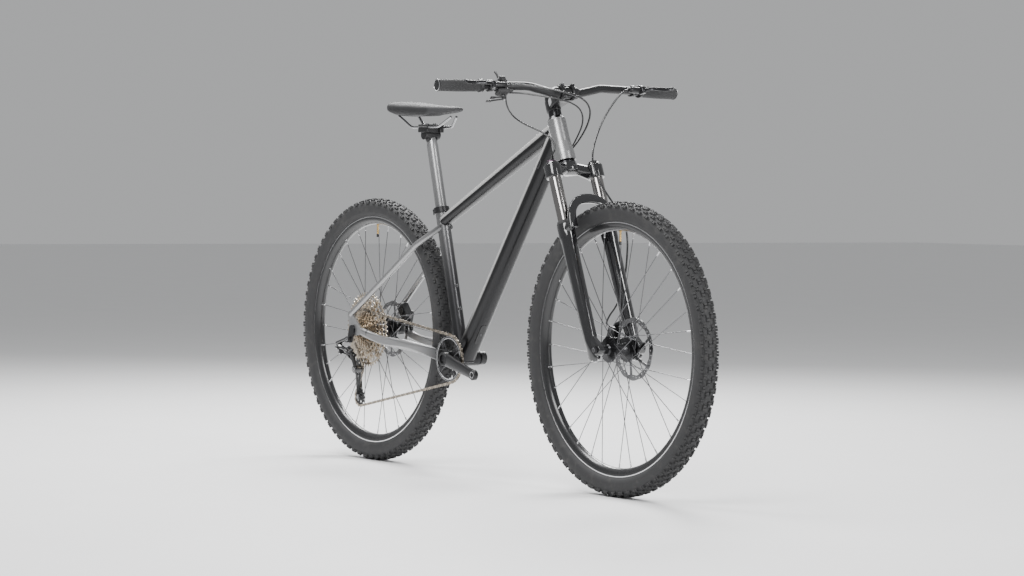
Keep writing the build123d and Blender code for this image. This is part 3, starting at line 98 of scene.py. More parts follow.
# --------------------------------------------------------------- materials
class Shader:
    """A node material on object coordinates, built socket by socket."""

    def __init__(self, name):
        self.mat = bpy.data.materials.new(name)
        self.mat.use_nodes = True
        self.tree = self.mat.node_tree
        self.bsdf = self.tree.nodes["Principled BSDF"]
        self.coords = self.tree.nodes.new("ShaderNodeTexCoord").outputs["Object"]

    def node(self, kind, inputs=(), **settings):
        made = self.tree.nodes.new(kind)
        for key, value in settings.items():
            setattr(made, key, value)
        for key, value in dict(inputs).items():
            if hasattr(value, "is_output"):
                self.tree.links.new(value, made.inputs[key])
            else:
                made.inputs[key].default_value = value
        return made

    def noise(self, scale, detail=3.0, stretch=None):
        coords = self.coords
        if stretch:
            coords = self.node("ShaderNodeMapping", {0: coords, 3: stretch}).outputs[0]
        return self.node("ShaderNodeTexNoise", {"Vector": coords, "Scale": scale,
                                                "Detail": detail}).outputs["Fac"]

    def math(self, op, a, b=0.0, c=0.0, clamp=False):
        return self.node("ShaderNodeMath", {0: a, 1: b, 2: c}, operation=op,
                         use_clamp=clamp).outputs[0]

    def range(self, value, a, b, c=0.0, d=1.0):
        return self.node("ShaderNodeMapRange", {0: value, 1: a, 2: b, 3: c, 4: d},
                         interpolation_type="SMOOTHSTEP").outputs[0]

    def mix(self, share, a, b):
        made = self.node("ShaderNodeMix", data_type="RGBA")
        for index, value in ((0, share), (6, a), (7, b)):
            if hasattr(value, "is_output"):
                self.tree.links.new(value, made.inputs[index])
            else:
                made.inputs[index].default_value = value if index == 0 else (*value, 1)
        return made.outputs[2]

    def link(self, socket, name):
        self.tree.links.new(socket, self.bsdf.inputs[name])

    def bump(self, height, strength, distance=0.0005):
        made = self.node("ShaderNodeBump", {"Height": height, "Strength": strength,
                                            "Distance": distance})
        self.link(made.outputs[0], "Normal")


def finish(name, colour, rough, metal=0.0, coat=0.0, vary=0.12, grain=900.0, relief=0.1,
           stretch=None, spread=0.06):
    """Base finish: colour and roughness that wander a little over a fine relief."""
    made = Shader(name)
    broad = made.noise(14.0, 4.0)
    fine = made.noise(grain, 3.0, stretch)
    dark = tuple(c * (1 - vary) for c in colour)
    light = tuple(min(1, c * (1 + vary)) for c in colour)
    made.link(made.mix(broad, dark, light), "Base Color")
    made.link(made.range(fine, 0.25, 0.75, max(0.02, rough - spread), rough + spread),
              "Roughness")
    made.bsdf.inputs["Metallic"].default_value = metal
    made.bsdf.inputs["Coat Weight"].default_value = coat
    made.bsdf.inputs["Coat Roughness"].default_value = 0.06
    if relief:
        made.bump(fine, relief, 0.0002)
    return made


def split(made, socket):
    parts = made.node("ShaderNodeSeparateXYZ", {0: socket})
    return parts.outputs


def frame_paint(name):
    """Satin graphite, near black on flanks and towards the bracket; painted highlight on upward
    faces.
    """
    made = finish(name, (0.2, 0.2, 0.205), 0.34, 0.75, 0.2, 0.05, 2200.0, 0.01)
    normal = made.node("ShaderNodeTexCoord").outputs["Normal"]
    lift = split(made, normal)[2]
    z = split(made, made.coords)[2]
    # painted highlight mask: faces turned upward, where the light from above falls
    lit_top_mask = made.range(lift, 0.015, 0.09)
    near = made.math("ABSOLUTE", made.math("SUBTRACT", z, bracket.z * MM))
    low = made.range(near, 0.03, 0.2)
    # the painted highlight is kept off the frame near the bracket's height
    painted_highlight_share = made.math("MULTIPLY", lit_top_mask, low)
    sparkle = made.noise(5200.0, 1.0)
    # bright silver of the painted highlight, flecked at random
    bright = made.mix(sparkle, (0.74, 0.73, 0.72), (0.8, 0.79, 0.78))
    made.link(made.mix(painted_highlight_share, (0.014, 0.014, 0.015), bright), "Base Color")
    return made.mat


def grey_paint(name):
    """Brighter grey of head tube, stays and seatpost; painted shade on the front of the head,
    darker near the bracket.
    """
    made = finish(name, (0.2, 0.2, 0.2), 0.33, 0.8, 0.3, 0.05, 2200.0, 0.01)
    normal = made.node("ShaderNodeTexCoord").outputs["Normal"]
    nx, ny, nz = split(made, normal)[:3]
    x = split(made, made.coords)[0]
    # painted shade mask: faces that look straight forward, at the front of the head tube
    front = made.math("MULTIPLY", made.range(nx, 0.9, 0.98), made.range(x, 0.1, 0.2))
    near = made.range(made.math("ABSOLUTE", made.math("SUBTRACT", x, bracket.x * MM)),
                      0.03, 0.16)
    sparkle = made.noise(5200.0, 1.0)
    bright = made.mix(sparkle, (0.27, 0.27, 0.275), (0.31, 0.31, 0.31))
    shade = made.mix(near, (0.03, 0.03, 0.032), bright)
    # near-black painted shade laid over those forward faces
    made.link(made.mix(front, shade, (0.03, 0.03, 0.032)), "Base Color")
    return made.mat


def tyre_rubber(name):
    made = finish(name, (0.02, 0.02, 0.021), 0.7, 0, 0, 0.25, 700.0, 0.35)
    dust = made.range(made.noise(60.0, 6.0), 0.5, 0.8)
    made.link(made.mix(dust, (0.019, 0.019, 0.02), (0.034, 0.033, 0.032)), "Base Color")
    return made.mat


def saddle_skin(name):
    """Synthetic cover with grained flanks and a smoother grey-black top panel."""
    made = finish(name, (0.03, 0.03, 0.031), 0.72, 0, 0, 0.1, 2600.0, 0.3)
    y = split(made, made.coords)[1]
    side = made.range(made.math("ABSOLUTE", y), 0.030, 0.034)
    made.link(made.mix(side, (0.03, 0.03, 0.032), (0.011, 0.011, 0.012)), "Base Color")
    return made.mat


FINISHES = {
    # colour, roughness, metal, coat, wander, grain, relief, stretch, spread
    "gloss_black": ((0.008, 0.008, 0.009), 0.1, 0, 1.0, 0.1, 300.0, 0.0, None, 0.03),
    "satin_black": ((0.014, 0.014, 0.015), 0.36, 0.4, 0.1),
    "matt_black": ((0.02, 0.02, 0.021), 0.6, 0, 0, 0.15, 1500.0, 0.3),
    "soft_rubber": ((0.022, 0.022, 0.023), 0.72, 0, 0, 0.2, 1200, 0.4),
    "hose_jacket": ((0.01, 0.01, 0.011), 0.3, 0, 0.3, 0.1, 600, 0.05),
    "chrome_dark": ((0.3, 0.29, 0.285), 0.09, 1.0, 0, 0.05, 900, 0.0, None, 0.02),
    "bright_alloy": ((0.7, 0.7, 0.71), 0.24, 1.0, 0, 0.06, 700, 0.05, (1, 6, 1)),
    "steel": ((0.38, 0.38, 0.39), 0.3, 1.0, 0, 0.1, 600, 0.12, (1, 8, 1)),
    "rotor_steel": ((0.2, 0.2, 0.205), 0.22, 1.0, 0, 0.1, 300, 0.1),
    "dark_steel": ((0.14, 0.14, 0.145), 0.35, 1.0, 0, 0.1, 600, 0.1),
    "champagne": ((0.56, 0.49, 0.4), 0.26, 1.0, 0, 0.1, 800, 0.08),
    "chain_plate": ((0.27, 0.235, 0.19), 0.24, 1.0, 0, 0.12, 800, 0.08),
    "brass": ((0.75, 0.5, 0.2), 0.28, 1.0, 0, 0.08),
    "stem_grey": ((0.5, 0.5, 0.51), 0.4, 0.5, 0.2, 0.05, 1800, 0.05),
    "rim_black": ((0.012, 0.012, 0.013), 0.3, 0.2, 0.4, 0.1),
    "alloy_black": ((0.028, 0.028, 0.03), 0.28, 0.8, 0.1, 0.1, 900, 0.06),
    "violet_glint": ((0.1, 0.055, 0.09), 0.2, 0.9, 0.6, 0.1),
}


def make_materials():
    made = {name: finish(name, *row).mat for name, row in FINISHES.items()}
    made["paint"] = frame_paint("paint")
    made["grey"] = grey_paint("grey")
    made["tyre"] = tyre_rubber("tyre")
    made["saddle"] = saddle_skin("saddle_cover")
    return made


# ------------------------------------------------------------------ shapes
def across(way):
    """Two unit vectors square to a direction."""
    way = Vector(way).normalized()
    side = LEFT if abs(way.y) < 0.9 else Vector((1, 0, 0))
    u = side.cross(way).normalized()
    return way.cross(u).normalized(), u


class Piece:
    """Mesh under construction: millimetre points, faces and a material for each face."""

    def __init__(self, *finishes):
        self.finishes = finishes
        self.points, self.faces, self.marks = [], [], []

    def add(self, points, faces, mark=0):
        start = len(self.points)
        self.points += [Vector(p) for p in points]
        self.faces += [tuple(i + start for i in f) for f in faces]
        self.marks += [mark] * len(faces)
        return self

    def grid(self, rings, mark=0, wrap=True, caps=False):
        """Skin over rings of equal length: closed round each ring, joined end to end if wrap."""
        count, size = len(rings), len(rings[0])
        points = [p for ring in rings for p in ring]
        faces = []
        for i in range(count if wrap else count - 1):
            j = (i + 1) % count
            for k in range(size):
                m = (k + 1) % size
                faces.append((i * size + k, j * size + k, j * size + m, i * size + m))
        if caps and not wrap:
            faces.append(tuple(reversed(range(size))))
            faces.append(tuple(range((count - 1) * size, count * size)))
        return self.add(points, faces, mark)

    def lathe(self, profile, centre, axis=(0, 1, 0), seg=48, mark=0):
        """Closed profile of (radius, along) turned about an axis."""
        axis = Vector(axis).normalized()
        u, v = across(axis)
        rings = []
        for k in range(seg):
            turn = tau * k / seg
            out = u * cos(turn) + v * sin(turn)
            rings.append([Vector(centre) + out * r + axis * h for r, h in profile])
        return self.grid(rings, mark)

    def rod(self, a, b, radius, end=None, mark=0, seg=24, bore=0.01, edge=0.5):
        """Round bar with softened rims."""
        a, b = Vector(a), Vector(b)
        end = radius if end is None else end
        length = (b - a).length
        edge = min(edge, length / 3, radius / 3, end / 3)
        profile = [(bore, 0), (radius - edge, 0), (radius, edge), (end, length - edge),
                   (end - edge, length), (bore, length)]
        return self.lathe(profile, a, b - a, seg, mark)

    def sweep(self, path, sizes, mark=0, seg=20, power=2.0, side=None):
        """Superellipse section (half across, half deep) carried along a path."""
        path = [Vector(p) for p in path]
        count = len(path)
        rings = []
        for i, here in enumerate(path):
            way = (path[min(i + 1, count - 1)] - path[max(i - 1, 0)]).normalized()
            share = i / (count - 1)
            wide, deep = blend_sizes(sizes, share)
            u = (Vector(side) if side else LEFT)
            u = (u - way * u.dot(way)).normalized()
            v = way.cross(u)
            rings.append([here + u * wide * signed(cos(t), power)
                          + v * deep * signed(sin(t), power)
                          for t in turns(seg)])
        return self.grid(rings, mark, wrap=False, caps=True)

    def hull(self, balls, mark=0, seg=10):
        """Convex skin round balls given as (x, y, z, radius)."""
        points = []
        for x, y, z, r in balls:
            for i in range(seg + 1):
                polar = pi * i / seg
                for k in range(2 * seg):
                    turn = pi * k / seg
                    points.append(Vector((x + r * sin(polar) * cos(turn),
                                          y + r * sin(polar) * sin(turn),
                                          z + r * cos(polar))))
        work = bmesh.new()
        for p in points:
            work.verts.new(p)
        bmesh.ops.remove_doubles(work, verts=work.verts, dist=0.01)
        bmesh.ops.convex_hull(work, input=work.verts)
        loose = [v for v in work.verts if not v.link_faces]
        bmesh.ops.delete(work, geom=loose, context="VERTS")
        work.verts.index_update()
        self.add([v.co.copy() for v in work.verts],
                 [[v.index for v in f.verts] for f in work.faces], mark)
        work.free()
        return self

    def plate(self, outlines, thick, origin, mark=0, x_dir=(1, 0, 0), z_dir=(0, 0, 1),
              bevel=0.15):
        """Flat plate of an outline and its holes, centred on the plane at origin."""
        curve = bpy.data.curves.new("outline", "CURVE")
        curve.dimensions = "2D"
        curve.fill_mode = "BOTH"
        curve.extrude = thick / 2 - bevel
        curve.bevel_depth = bevel
        curve.bevel_resolution = 0
        curve.offset = -bevel
        for outline in outlines:
            line = curve.splines.new("POLY")
            line.points.add(len(outline) - 1)
            for point, (px, pz) in zip(line.points, outline):
                point.co = (px, pz, 0, 1)
            line.use_cyclic_u = True
        holder = bpy.data.objects.new("outline", curve)
        made = bpy.data.meshes.new_from_object(holder)
        bpy.data.objects.remove(holder)
        bpy.data.curves.remove(curve)
        x_dir, z_dir = Vector(x_dir).normalized(), Vector(z_dir).normalized()
        y_dir = x_dir.cross(z_dir)
        origin = Vector(origin)
        self.add([origin + x_dir * v.co.x + z_dir * v.co.y + y_dir * v.co.z
                  for v in made.vertices], [tuple(p.vertices) for p in made.polygons], mark)
        bpy.data.meshes.remove(made)
        return self

    def mesh(self, name, sharp=38.0):
        made = bpy.data.meshes.new(name)
        made.from_pydata([p * MM for p in self.points], [], self.faces)
        for one in self.finishes:
            made.materials.append(M[one])
        made.polygons.foreach_set("material_index", self.marks)
        work = bmesh.new()
        work.from_mesh(made)
        bmesh.ops.remove_doubles(work, verts=work.verts, dist=2e-6)
        bmesh.ops.recalc_face_normals(work, faces=work.faces)
        for face in work.faces:
            face.smooth = True
        for edge in work.edges:
            if len(edge.link_faces) == 2 and edge.calc_face_angle(0) > radians(sharp):
                edge.smooth = False
        work.to_mesh(made)
        work.free()
        return made

    def make(self, name, body, slot, *nodes, sharp=38.0):
        return show(self.mesh(name, sharp), name, body, slot, *nodes)


def place_object(name, data):
    made = bpy.data.objects.new(name, data)
    bpy.context.scene.collection.objects.link(made)
    return made


def show(mesh, name, body, slot, *nodes):
    """Puts a finished mesh on its body, standing for the CAD nodes named."""
    made = place_object(name, mesh)
    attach(made, body)
    if nodes:
        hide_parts(*nodes)
    return made


def turns(count, start=0.0):
    """Angles spaced evenly round a circle."""
    return [start + tau * k / count for k in range(count)]


def polar(radius, angle):
    return radius * cos(angle), radius * sin(angle)


def washer(bore, low, radius, high):
    """Lathe profile of a plain ring between two heights."""
    return [(bore, low), (radius, low), (radius, high), (bore, high)]


def signed(value, power):
    return copysign(abs(value) ** (2 / power), value)


def blend_sizes(sizes, share):
    """Sizes given as (share, across, deep) stations, read between stations."""
    for (s0, a0, b0), (s1, a1, b1) in zip(sizes, sizes[1:]):
        if share <= s1 + 1e-9:
            t = (share - s0) / (s1 - s0)
            t = t * t * (3 - 2 * t)
            return a0 + (a1 - a0) * t, b0 + (b1 - b0) * t
    return sizes[-1][1:]


def smooth_path(points, steps=8):
    """Catmull-Rom line through points."""
    pts = [Vector(p) for p in points]
    pts = [pts[0] * 2 - pts[1], *pts, pts[-1] * 2 - pts[-2]]
    line = []
    for a, b, c, d in zip(pts, pts[1:], pts[2:], pts[3:]):
        for k in range(steps):
            t = k / steps
            line.append(0.5 * (2 * b + (c - a) * t + (2 * a - 5 * b + 4 * c - d) * t * t
                               + (3 * b - a - 3 * c + d) * t ** 3))
    return [*line, pts[-2]]


def circle(x, z, radius, count=24):
    return [(x + radius * cos(a), z + radius * sin(a)) for a in turns(count)]


def pill(length, width):
    """Outline of a slot with round ends."""
    line = []
    for end in (1, -1):
        for k in range(9):
            x, z = polar(width / 2, radians(22.5 * k - 90 * end))
            line.append((end * (length - width) / 2 + x, z))
    return line


def scatter(name, source, places):
    """Copies of a piece at matrices, through geometry nodes, turned into one plain mesh."""
    proto = place_object(name + "_one", source.mesh(name + "_one"))
    spots = bpy.data.meshes.new(name)
    spots.from_pydata([m.to_translation() * MM for m in places], [], [])
    turns = spots.attributes.new("turn", "FLOAT_VECTOR", "POINT")
    sizes = spots.attributes.new("size", "FLOAT_VECTOR", "POINT")
    for i, m in enumerate(places):
        turns.data[i].vector = m.to_euler("XYZ")
        sizes.data[i].vector = m.to_scale()
    tree = bpy.data.node_groups.new(name, "GeometryNodeTree")
    tree.interface.new_socket("Geometry", in_out="INPUT", socket_type="NodeSocketGeometry")
    tree.interface.new_socket("Geometry", in_out="OUTPUT", socket_type="NodeSocketGeometry")
    new, link = tree.nodes.new, tree.links.new
    start, end = new("NodeGroupInput"), new("NodeGroupOutput")
    copies = new("GeometryNodeInstanceOnPoints")
    info = new("GeometryNodeObjectInfo")
    info.inputs["Object"].default_value = proto
    real = new("GeometryNodeRealizeInstances")
    link(start.outputs[0], copies.inputs["Points"])
    link(info.outputs["Geometry"], copies.inputs["Instance"])
    for key, socket in (("turn", "Rotation"), ("size", "Scale")):
        read = new("GeometryNodeInputNamedAttribute")
        read.data_type = "FLOAT_VECTOR"
        read.inputs["Name"].default_value = key
        link(read.outputs["Attribute"], copies.inputs[socket])
    link(copies.outputs[0], real.inputs[0])
    last = real.outputs[0]
    if len(source.finishes) == 1:
        dress = new("GeometryNodeSetMaterial")
        dress.inputs["Material"].default_value = M[source.finishes[0]]
        link(last, dress.inputs[0])
        last = dress.outputs[0]
    link(last, end.inputs[0])
    holder = place_object(name, spots)
    holder.modifiers.new("copies", "NODES").node_group = tree
    bpy.context.view_layer.update()
    depsgraph = bpy.context.evaluated_depsgraph_get()
    made = bpy.data.meshes.new_from_object(holder.evaluated_get(depsgraph))
    for extra in (holder, proto):
        bpy.data.objects.remove(extra)
    made.name = name
    return made


def pose(origin, x_dir, z_dir, scale=(1, 1, 1)):
    """Matrix in millimetres that carries X and Z to the directions given."""
    x_dir = Vector(x_dir).normalized()
    z_dir = Vector(z_dir).normalized()
    y_dir = z_dir.cross(x_dir)
    turn = Matrix((x_dir, y_dir, z_dir)).transposed().to_4x4()
    return Matrix.Translation(Vector(origin)) @ turn @ Matrix.Diagonal((*scale, 1))


def hex_screws(name, body, slot, heads):
    """Socket screws: (place, outward direction, radius, height)."""
    one = Piece("dark_steel", "matt_black")
    one.lathe([(0.62, 0.2), (0.62, 0.75), (0.9, 0.95), (1, 0.8), (1, 0), (0.3, 0)],
              (0, 0, 0), (0, 0, 1), 20)
    one.lathe(washer(0.02, 0.2, 0.6, 0.15), (0, 0, 0), (0, 0, 1), 6, 1)
    places = []
    for place, out, radius, height in heads:
        u, _ = across(out)
        places.append(pose(place, u, out, (radius, radius, height)))
    return show(scatter(name, one, places), name, body, slot)


# ------------------------------------------------------------------ wheels
def wheel_point(centre, radius, angle, y):
    return Vector((centre.x + radius * cos(angle), y,
                   centre.z + radius * sin(angle)))


def tyre(end, centre):
    """Casing, then blocks in staggered rows."""
    half = [(318.6, 12.6), (321, 17.5), (326, 22.5), (332, 25.6), (334, 26.0), (338, 26.6),
            (344, 27.0), (350, 26.0), (356, 23.4), (361, 18.8), (364.4, 12.5), (366.2, 6),
            (366.6, 0)]
    inner = [(363.5, 0), (358, 14), (345, 22), (327, 19), (318.6, 10)]
    outline = half + [(r, -y) for r, y in reversed(half[:-1])]
    outline += [(r, -y) for r, y in reversed(inner)] + inner[1:]
    casing = Piece("tyre").lathe(outline, centre, seg=160)
    casing.make(f"{end}_tyre_casing", f"{end}_wheel", "tyre_rubber", f"{end}_tyre")
    rows = [(5.6, 366.2, 7, 0.0, (13.5, 8.6, 3.9)), (15.6, 363.0, 24, 0.5, (11.0, 7.0, 4.4)),
            (22.6, 357.4, 47, 0.0, (12.5, 6.6, 5.0))]
    block = Piece("tyre")
    for low, high in ((-0.5, -0.05), (0.05, 0.5)):
        foot = [(low * 1.1, -0.55, -0.5), (high * 1.1, -0.55, -0.5), (high * 1.1, 0.55, -0.5),
                (low * 1.1, 0.55, -0.5)]
        rim_low = [(x / 1.1, y / 1.1, 0.8) for x, y, _ in foot]
        top = [(x * 0.8 + (low + high) * 0.06, y * 0.8, 1.0) for x, y, _ in foot]
        block.grid([foot, rim_low, top], wrap=False, caps=True)
    places = []
    count = 74
    for index in range(count):
        for y, radius, lean, stagger, size in rows:
            for side in (-1, 1):
                shift = stagger + (0.25 if side > 0 else 0)
                angle = tau * (index + shift) / count
                tilt = radians(lean) * side
                radial = Vector((cos(angle), 0, sin(angle)))
                out = radial * cos(tilt) + LEFT * sin(tilt)
                along = Vector((-sin(angle), 0, cos(angle)))
                spot = wheel_point(centre, radius, angle, side * y)
                grow = 1 + 0.12 * (index % 2)
                places.append(pose(spot, along, out,
                                   (size[0] * grow, size[1], size[2] * 1.0)))
    show(scatter(f"{end}_tyre_blocks", block, places), f"{end}_tyre_blocks",
         f"{end}_wheel", "tyre_rubber")


def rim(end, centre):
    half = [(319.2, 13.0), (319.2, 14.2), (318.4, 15.0), (310, 15.0), (305, 13.0),
            (299.5, 8.0), (297.2, 4.0), (297.0, 0)]
    bed = [(308, 0), (308, 11.5), (317, 12.2)]
    outline = half + [(r, -y) for r, y in reversed(half[:-1])]
    outline += [(r, -y) for r, y in reversed(bed)] + bed[1:]
    made = Piece("rim_black", "bright_alloy", "brass")
    made.lathe(outline, centre, seg=160)
    for side in (-1, 1):
        made.lathe([(316.9, side * 15.0), (316.9, side * 15.25), (319.0, side * 15.25),
                    (319.4, side * 14.2), (319.2, side * 13.9)], centre, seg=160, mark=1)
    up = Vector((0, 0, 1))
    foot = centre + up * 297
    made.rod(foot, foot - up * 30, 2.7, mark=2, seg=16)
    made.rod(foot - up * 0.2, foot - up * 3, 4.6, mark=2, seg=6)
    made.rod(foot - up * 27, foot - up * 36, 3.4, mark=0, seg=12)
    made.make(f"{end}_rim_shell", f"{end}_wheel", "black_alloy", f"{end}_rim")


def spoke_lines(left_y, right_y):
    """Foot and rim end of each spoke about the wheel's centre."""
    lines = []
    for side, flange in ((1, left_y), (-1, right_y)):
        for index in range(16):
            trailing = index % 2 == 0
            hub = radians(index * 22.5 + (0 if side > 0 else 11.25))
            edge = hub + radians(67.5 if trailing else -67.5)
            y = flange + (2.6 if trailing else -2.6)
            foot = Vector((29 * cos(hub), y, 29 * sin(hub)))
            tip = Vector((317.5 * cos(edge), side * 2, 317.5 * sin(edge)))
            lines.append((foot, tip, flange))
    return lines


def spokes(end, centre, left_y, right_y):
    shaft = Piece("dark_steel").rod((0, 0, 0), (0, 0, 1), 1, seg=8, edge=0.01)
    nipple = Piece("bright_alloy")
    nipple.lathe([(0.01, 0), (0.8, 0), (1, 0.12), (1, 0.8), (1.25, 0.9), (1.25, 1), (0.01, 1)],
                 (0, 0, 0), (0, 0, 1), 8)
    bars, caps = [], []
    for foot, tip, flange in spoke_lines(left_y, right_y):
        way = (tip - foot).normalized()
        reach = (tip - foot).length
        side, _ = across(way)
        start = centre + foot
        bars.append(pose(start, side, way, (1.0, 1.0, reach - 22)))
        caps.append(pose(start + way * (reach - 34), side, way, (1.9, 1.9, 15)))
        head = centre + Vector((foot.x, 2 * flange - foot.y, foot.z))
        bars.append(pose(head, (1, 0, 0), start - head, (1.0, 1.0, (start - head).length)))
    wheel = f"{end}_wheel"
    show(scatter(f"{end}_spoke_bars", shaft, bars), f"{end}_spoke_bars", wheel,
         "spoke_steel", f"{end}_spokes")
    show(scatter(f"{end}_nipples", nipple, caps), f"{end}_nipples", wheel, "spoke_steel")


def hub(end, centre, width, bore, left_y, right_y, rotor_y):
    half = width / 2 - 0.3
    disc = rotor_y - 0.9
    profile = [(bore, -half), (bore + 2.6, -half), (bore + 3, -half + 0.5),
               (bore + 3, right_y - 8), (14, right_y - 4), (30, right_y - 1.6),
               (32.6, right_y - 1.2), (32.6, right_y + 1.2), (30, right_y + 1.6),
               (17, right_y + 4), (14.5, right_y + 12), (14, (left_y + right_y) / 2),
               (15, left_y - 10), (18, left_y - 4), (30, left_y - 1.6), (32.6, left_y - 1.2),
               (32.6, left_y + 1.2), (30, left_y + 1.6), (18, left_y + 3),
               (17.5, disc - 5), (25.6, disc - 4.6), (25.6, disc), (12, disc),
               (12, rotor_y + 4), (bore + 3, rotor_y + 4.4), (bore + 3, half), (bore, half)]
    made = Piece("alloy_black", "bright_alloy")
    made.lathe(profile, centre, seg=64)
    for side in (-1, 1):
        made.lathe(washer(bore + 0.4, side * half, bore + 2.4, side * (half - 0.3)),
                   centre, seg=40, mark=1)
    made.make(f"{end}_hub_shell", f"{end}_wheel", "black_alloy", f"{end}_hub")


def rotor(end, centre, y):
    """Petal rotor: waved braking ring with slots, six arms and its bolts."""
    outer = [polar(79.0 + cos(12 * a), a) for a in turns(180)]
    inner = [polar(66.0 - 1.2 * cos(12 * a), a) for a in turns(180)]
    holes = [circle(*polar(69.5 + 2.6 * (k % 3), a), 1.9, 10) for k, a in enumerate(turns(36))]
    made = Piece("rotor_steel", "alloy_black")
    spot = centre + LEFT * y
    made.plate([outer, inner, *holes], 1.8, spot)
    made.plate([circle(0, 0, 27, 60), circle(0, 0, 17, 40),
                *[circle(*polar(22, a), 2.4, 12) for a in turns(6, pi / 6)]], 1.9, spot)
    for a in turns(6):
        b = a + radians(24)
        ends = [(25.5, a - 0.17), (66.6, b - 0.055), (66.6, b + 0.055), (25.5, a + 0.17)]
        made.plate([[polar(r, t) for r, t in ends]], 1.6, spot)
    made.lathe(washer(12.3, -0.9, 17.6, 0.9), spot, seg=48, mark=1)
    made.make(f"{end}_rotor_disc", f"{end}_wheel", "rotor_steel", f"{end}_rotor")
    heads = [(wheel_point(centre, 22, a, y + 0.9), LEFT, 3.3, 2.2) for a in turns(6, pi / 6)]
    hex_screws(f"{end}_rotor_screws", f"{end}_wheel", "rotor_steel", heads)


# -------------------------------------------------------------- drivetrain
def pitch_radius(teeth):
    return chain_pitch / (2 * sin(pi / teeth))


def toothed(teeth, phase, tip=2.6):
    outline = []
    radius = pitch_radius(teeth)
    for index in range(teeth):
        centre = phase + (index + 0.5) * 360 / teeth
        for rise, spread in ((-3.9, -3.6), (-2.6, -2.9), (0, -2.15), (tip, -0.75),
                             (tip, 0.75), (0, 2.15), (-2.6, 2.9), (-3.9, 3.6)):
            a = radians(centre) + spread / (radius + rise)
            outline.append(polar(radius + rise, a))
    return outline


guide, tension = (-588.0, 262.0), (-577.0, 178.0)
# Centre, teeth and way round of each wheel the chain passes, from the chainring on.
stops_in = [((bracket.x, bracket.z), ring_teeth, -1), (tension, pulley_teeth, -1),
            (guide, pulley_teeth, 1), ((rear_axle.x, rear_axle.z), cog_teeth[chain_cog], -1)]


def chain_rollers():
    """Roller centres one pitch apart, and the angle of each wheel's first roller."""
    runs, stops = [], []
    for (a, ta, sa), (b, tb, sb) in zip(stops_in, stops_in[1:] + stops_in[:1]):
        gap = dist(a, b)
        heading = atan2(b[1] - a[1], b[0] - a[0])
        lean = asin((sa * pitch_radius(ta) - sb * pitch_radius(tb)) / gap)
        normal = heading + lean - pi / 2
        runs.append((normal + (0 if sa > 0 else pi), normal + (0 if sb > 0 else pi)))
    pieces = []
    for index, (centre, teeth, turn) in enumerate(stops_in):
        enter, leave = runs[index - 1][1], runs[index][0]
        swept = (leave - enter) * turn % (tau)
        stops.append((centre, pitch_radius(teeth), enter))
        pieces.append(("arc", centre, pitch_radius(teeth), turn, enter, swept, teeth))
    path = []
    for index, piece in enumerate(pieces):
        path.append((piece[5] * piece[6] / (tau), piece))
        leave = piece[4] + piece[3] * piece[5]
        start = [piece[1][i] + piece[2] * (cos, sin)[i](leave) for i in (0, 1)]
        after = stops[(index + 1) % 4]
        end = [after[0][i] + after[1] * (cos, sin)[i](after[2]) for i in (0, 1)]
        path.append((dist(start, end) / chain_pitch, ("run", start, end)))
    total = sum(length for length, _ in path)
    links = 2 * round(total / 2)
    slack = (links - total) / sum(length for length, p in path if p[0] == "run")
    places, phases, done, count = [], {}, 0.0, 0
    for length, piece in path:
        span = length if piece[0] == "arc" else length * (1 + slack)
        while count < done + span - 1e-9 and count < links:
            share = (count - done) / span
            if piece[0] == "arc":
                angle = piece[4] + piece[3] * piece[5] * share
                phases.setdefault(piece[1], degrees(angle))
                places.append((piece[1][0] + piece[2] * cos(angle),
                               piece[1][1] + piece[2] * sin(angle)))
            else:
                (ax, az), (bx, bz) = piece[1], piece[2]
                places.append((ax + (bx - ax) * share, az + (bz - az) * share))
            count += 1
        done += span
    return places, phases


def link_outline(waist):
    """Figure-of-eight side plate about the middle of one pitch."""
    line = []
    for side in (1, -1):
        for k in range(9):
            a = radians(-100 + 25 * k) + (0 if side > 0 else pi)
            line.append((side * 6.35 + 3.75 * cos(a), 3.75 * sin(a)))
        line.append((0, side * waist))
    return line


def chain(places):
    narrow = Piece("champagne", "dark_steel")
    wide = Piece("chain_plate", "steel")
    for side in (-1, 1):
        holes = [circle(6.35, 0, 1.2, 8), circle(-6.35, 0, 1.2, 8)]
        narrow.plate([link_outline(2.6), *holes], 0.62, (0, side * 1.475, 0), bevel=0.1)
        wide.plate([link_outline(2.5)], 0.62, (0, side * 2.11, 0), bevel=0.1)
    for x in (-6.35, 6.35):
        narrow.rod((x, -1.15, 0), (x, 1.15, 0), 3.5, mark=1, seg=14)
        wide.rod((x, -2.48, 0), (x, 2.48, 0), 1.6, mark=1, seg=10)
    sets = ([], [])
    for index, (x, z) in enumerate(places):
        nx, nz = places[(index + 1) % len(places)]
        way = Vector((nx - x, 0, nz - z)).normalized()
        up = way.cross(LEFT)
        spot = Vector(((x + nx) / 2, chain_y, (z + nz) / 2))
        sets[index % 2].append(pose(spot, way, up))
    show(scatter("chain_inner_links", narrow, sets[0]), "chain_inner_links", "frame",
         "cog_steel", "chain")
    show(scatter("chain_outer_links", wide, sets[1]), "chain_outer_links", "frame",
         "cog_steel")


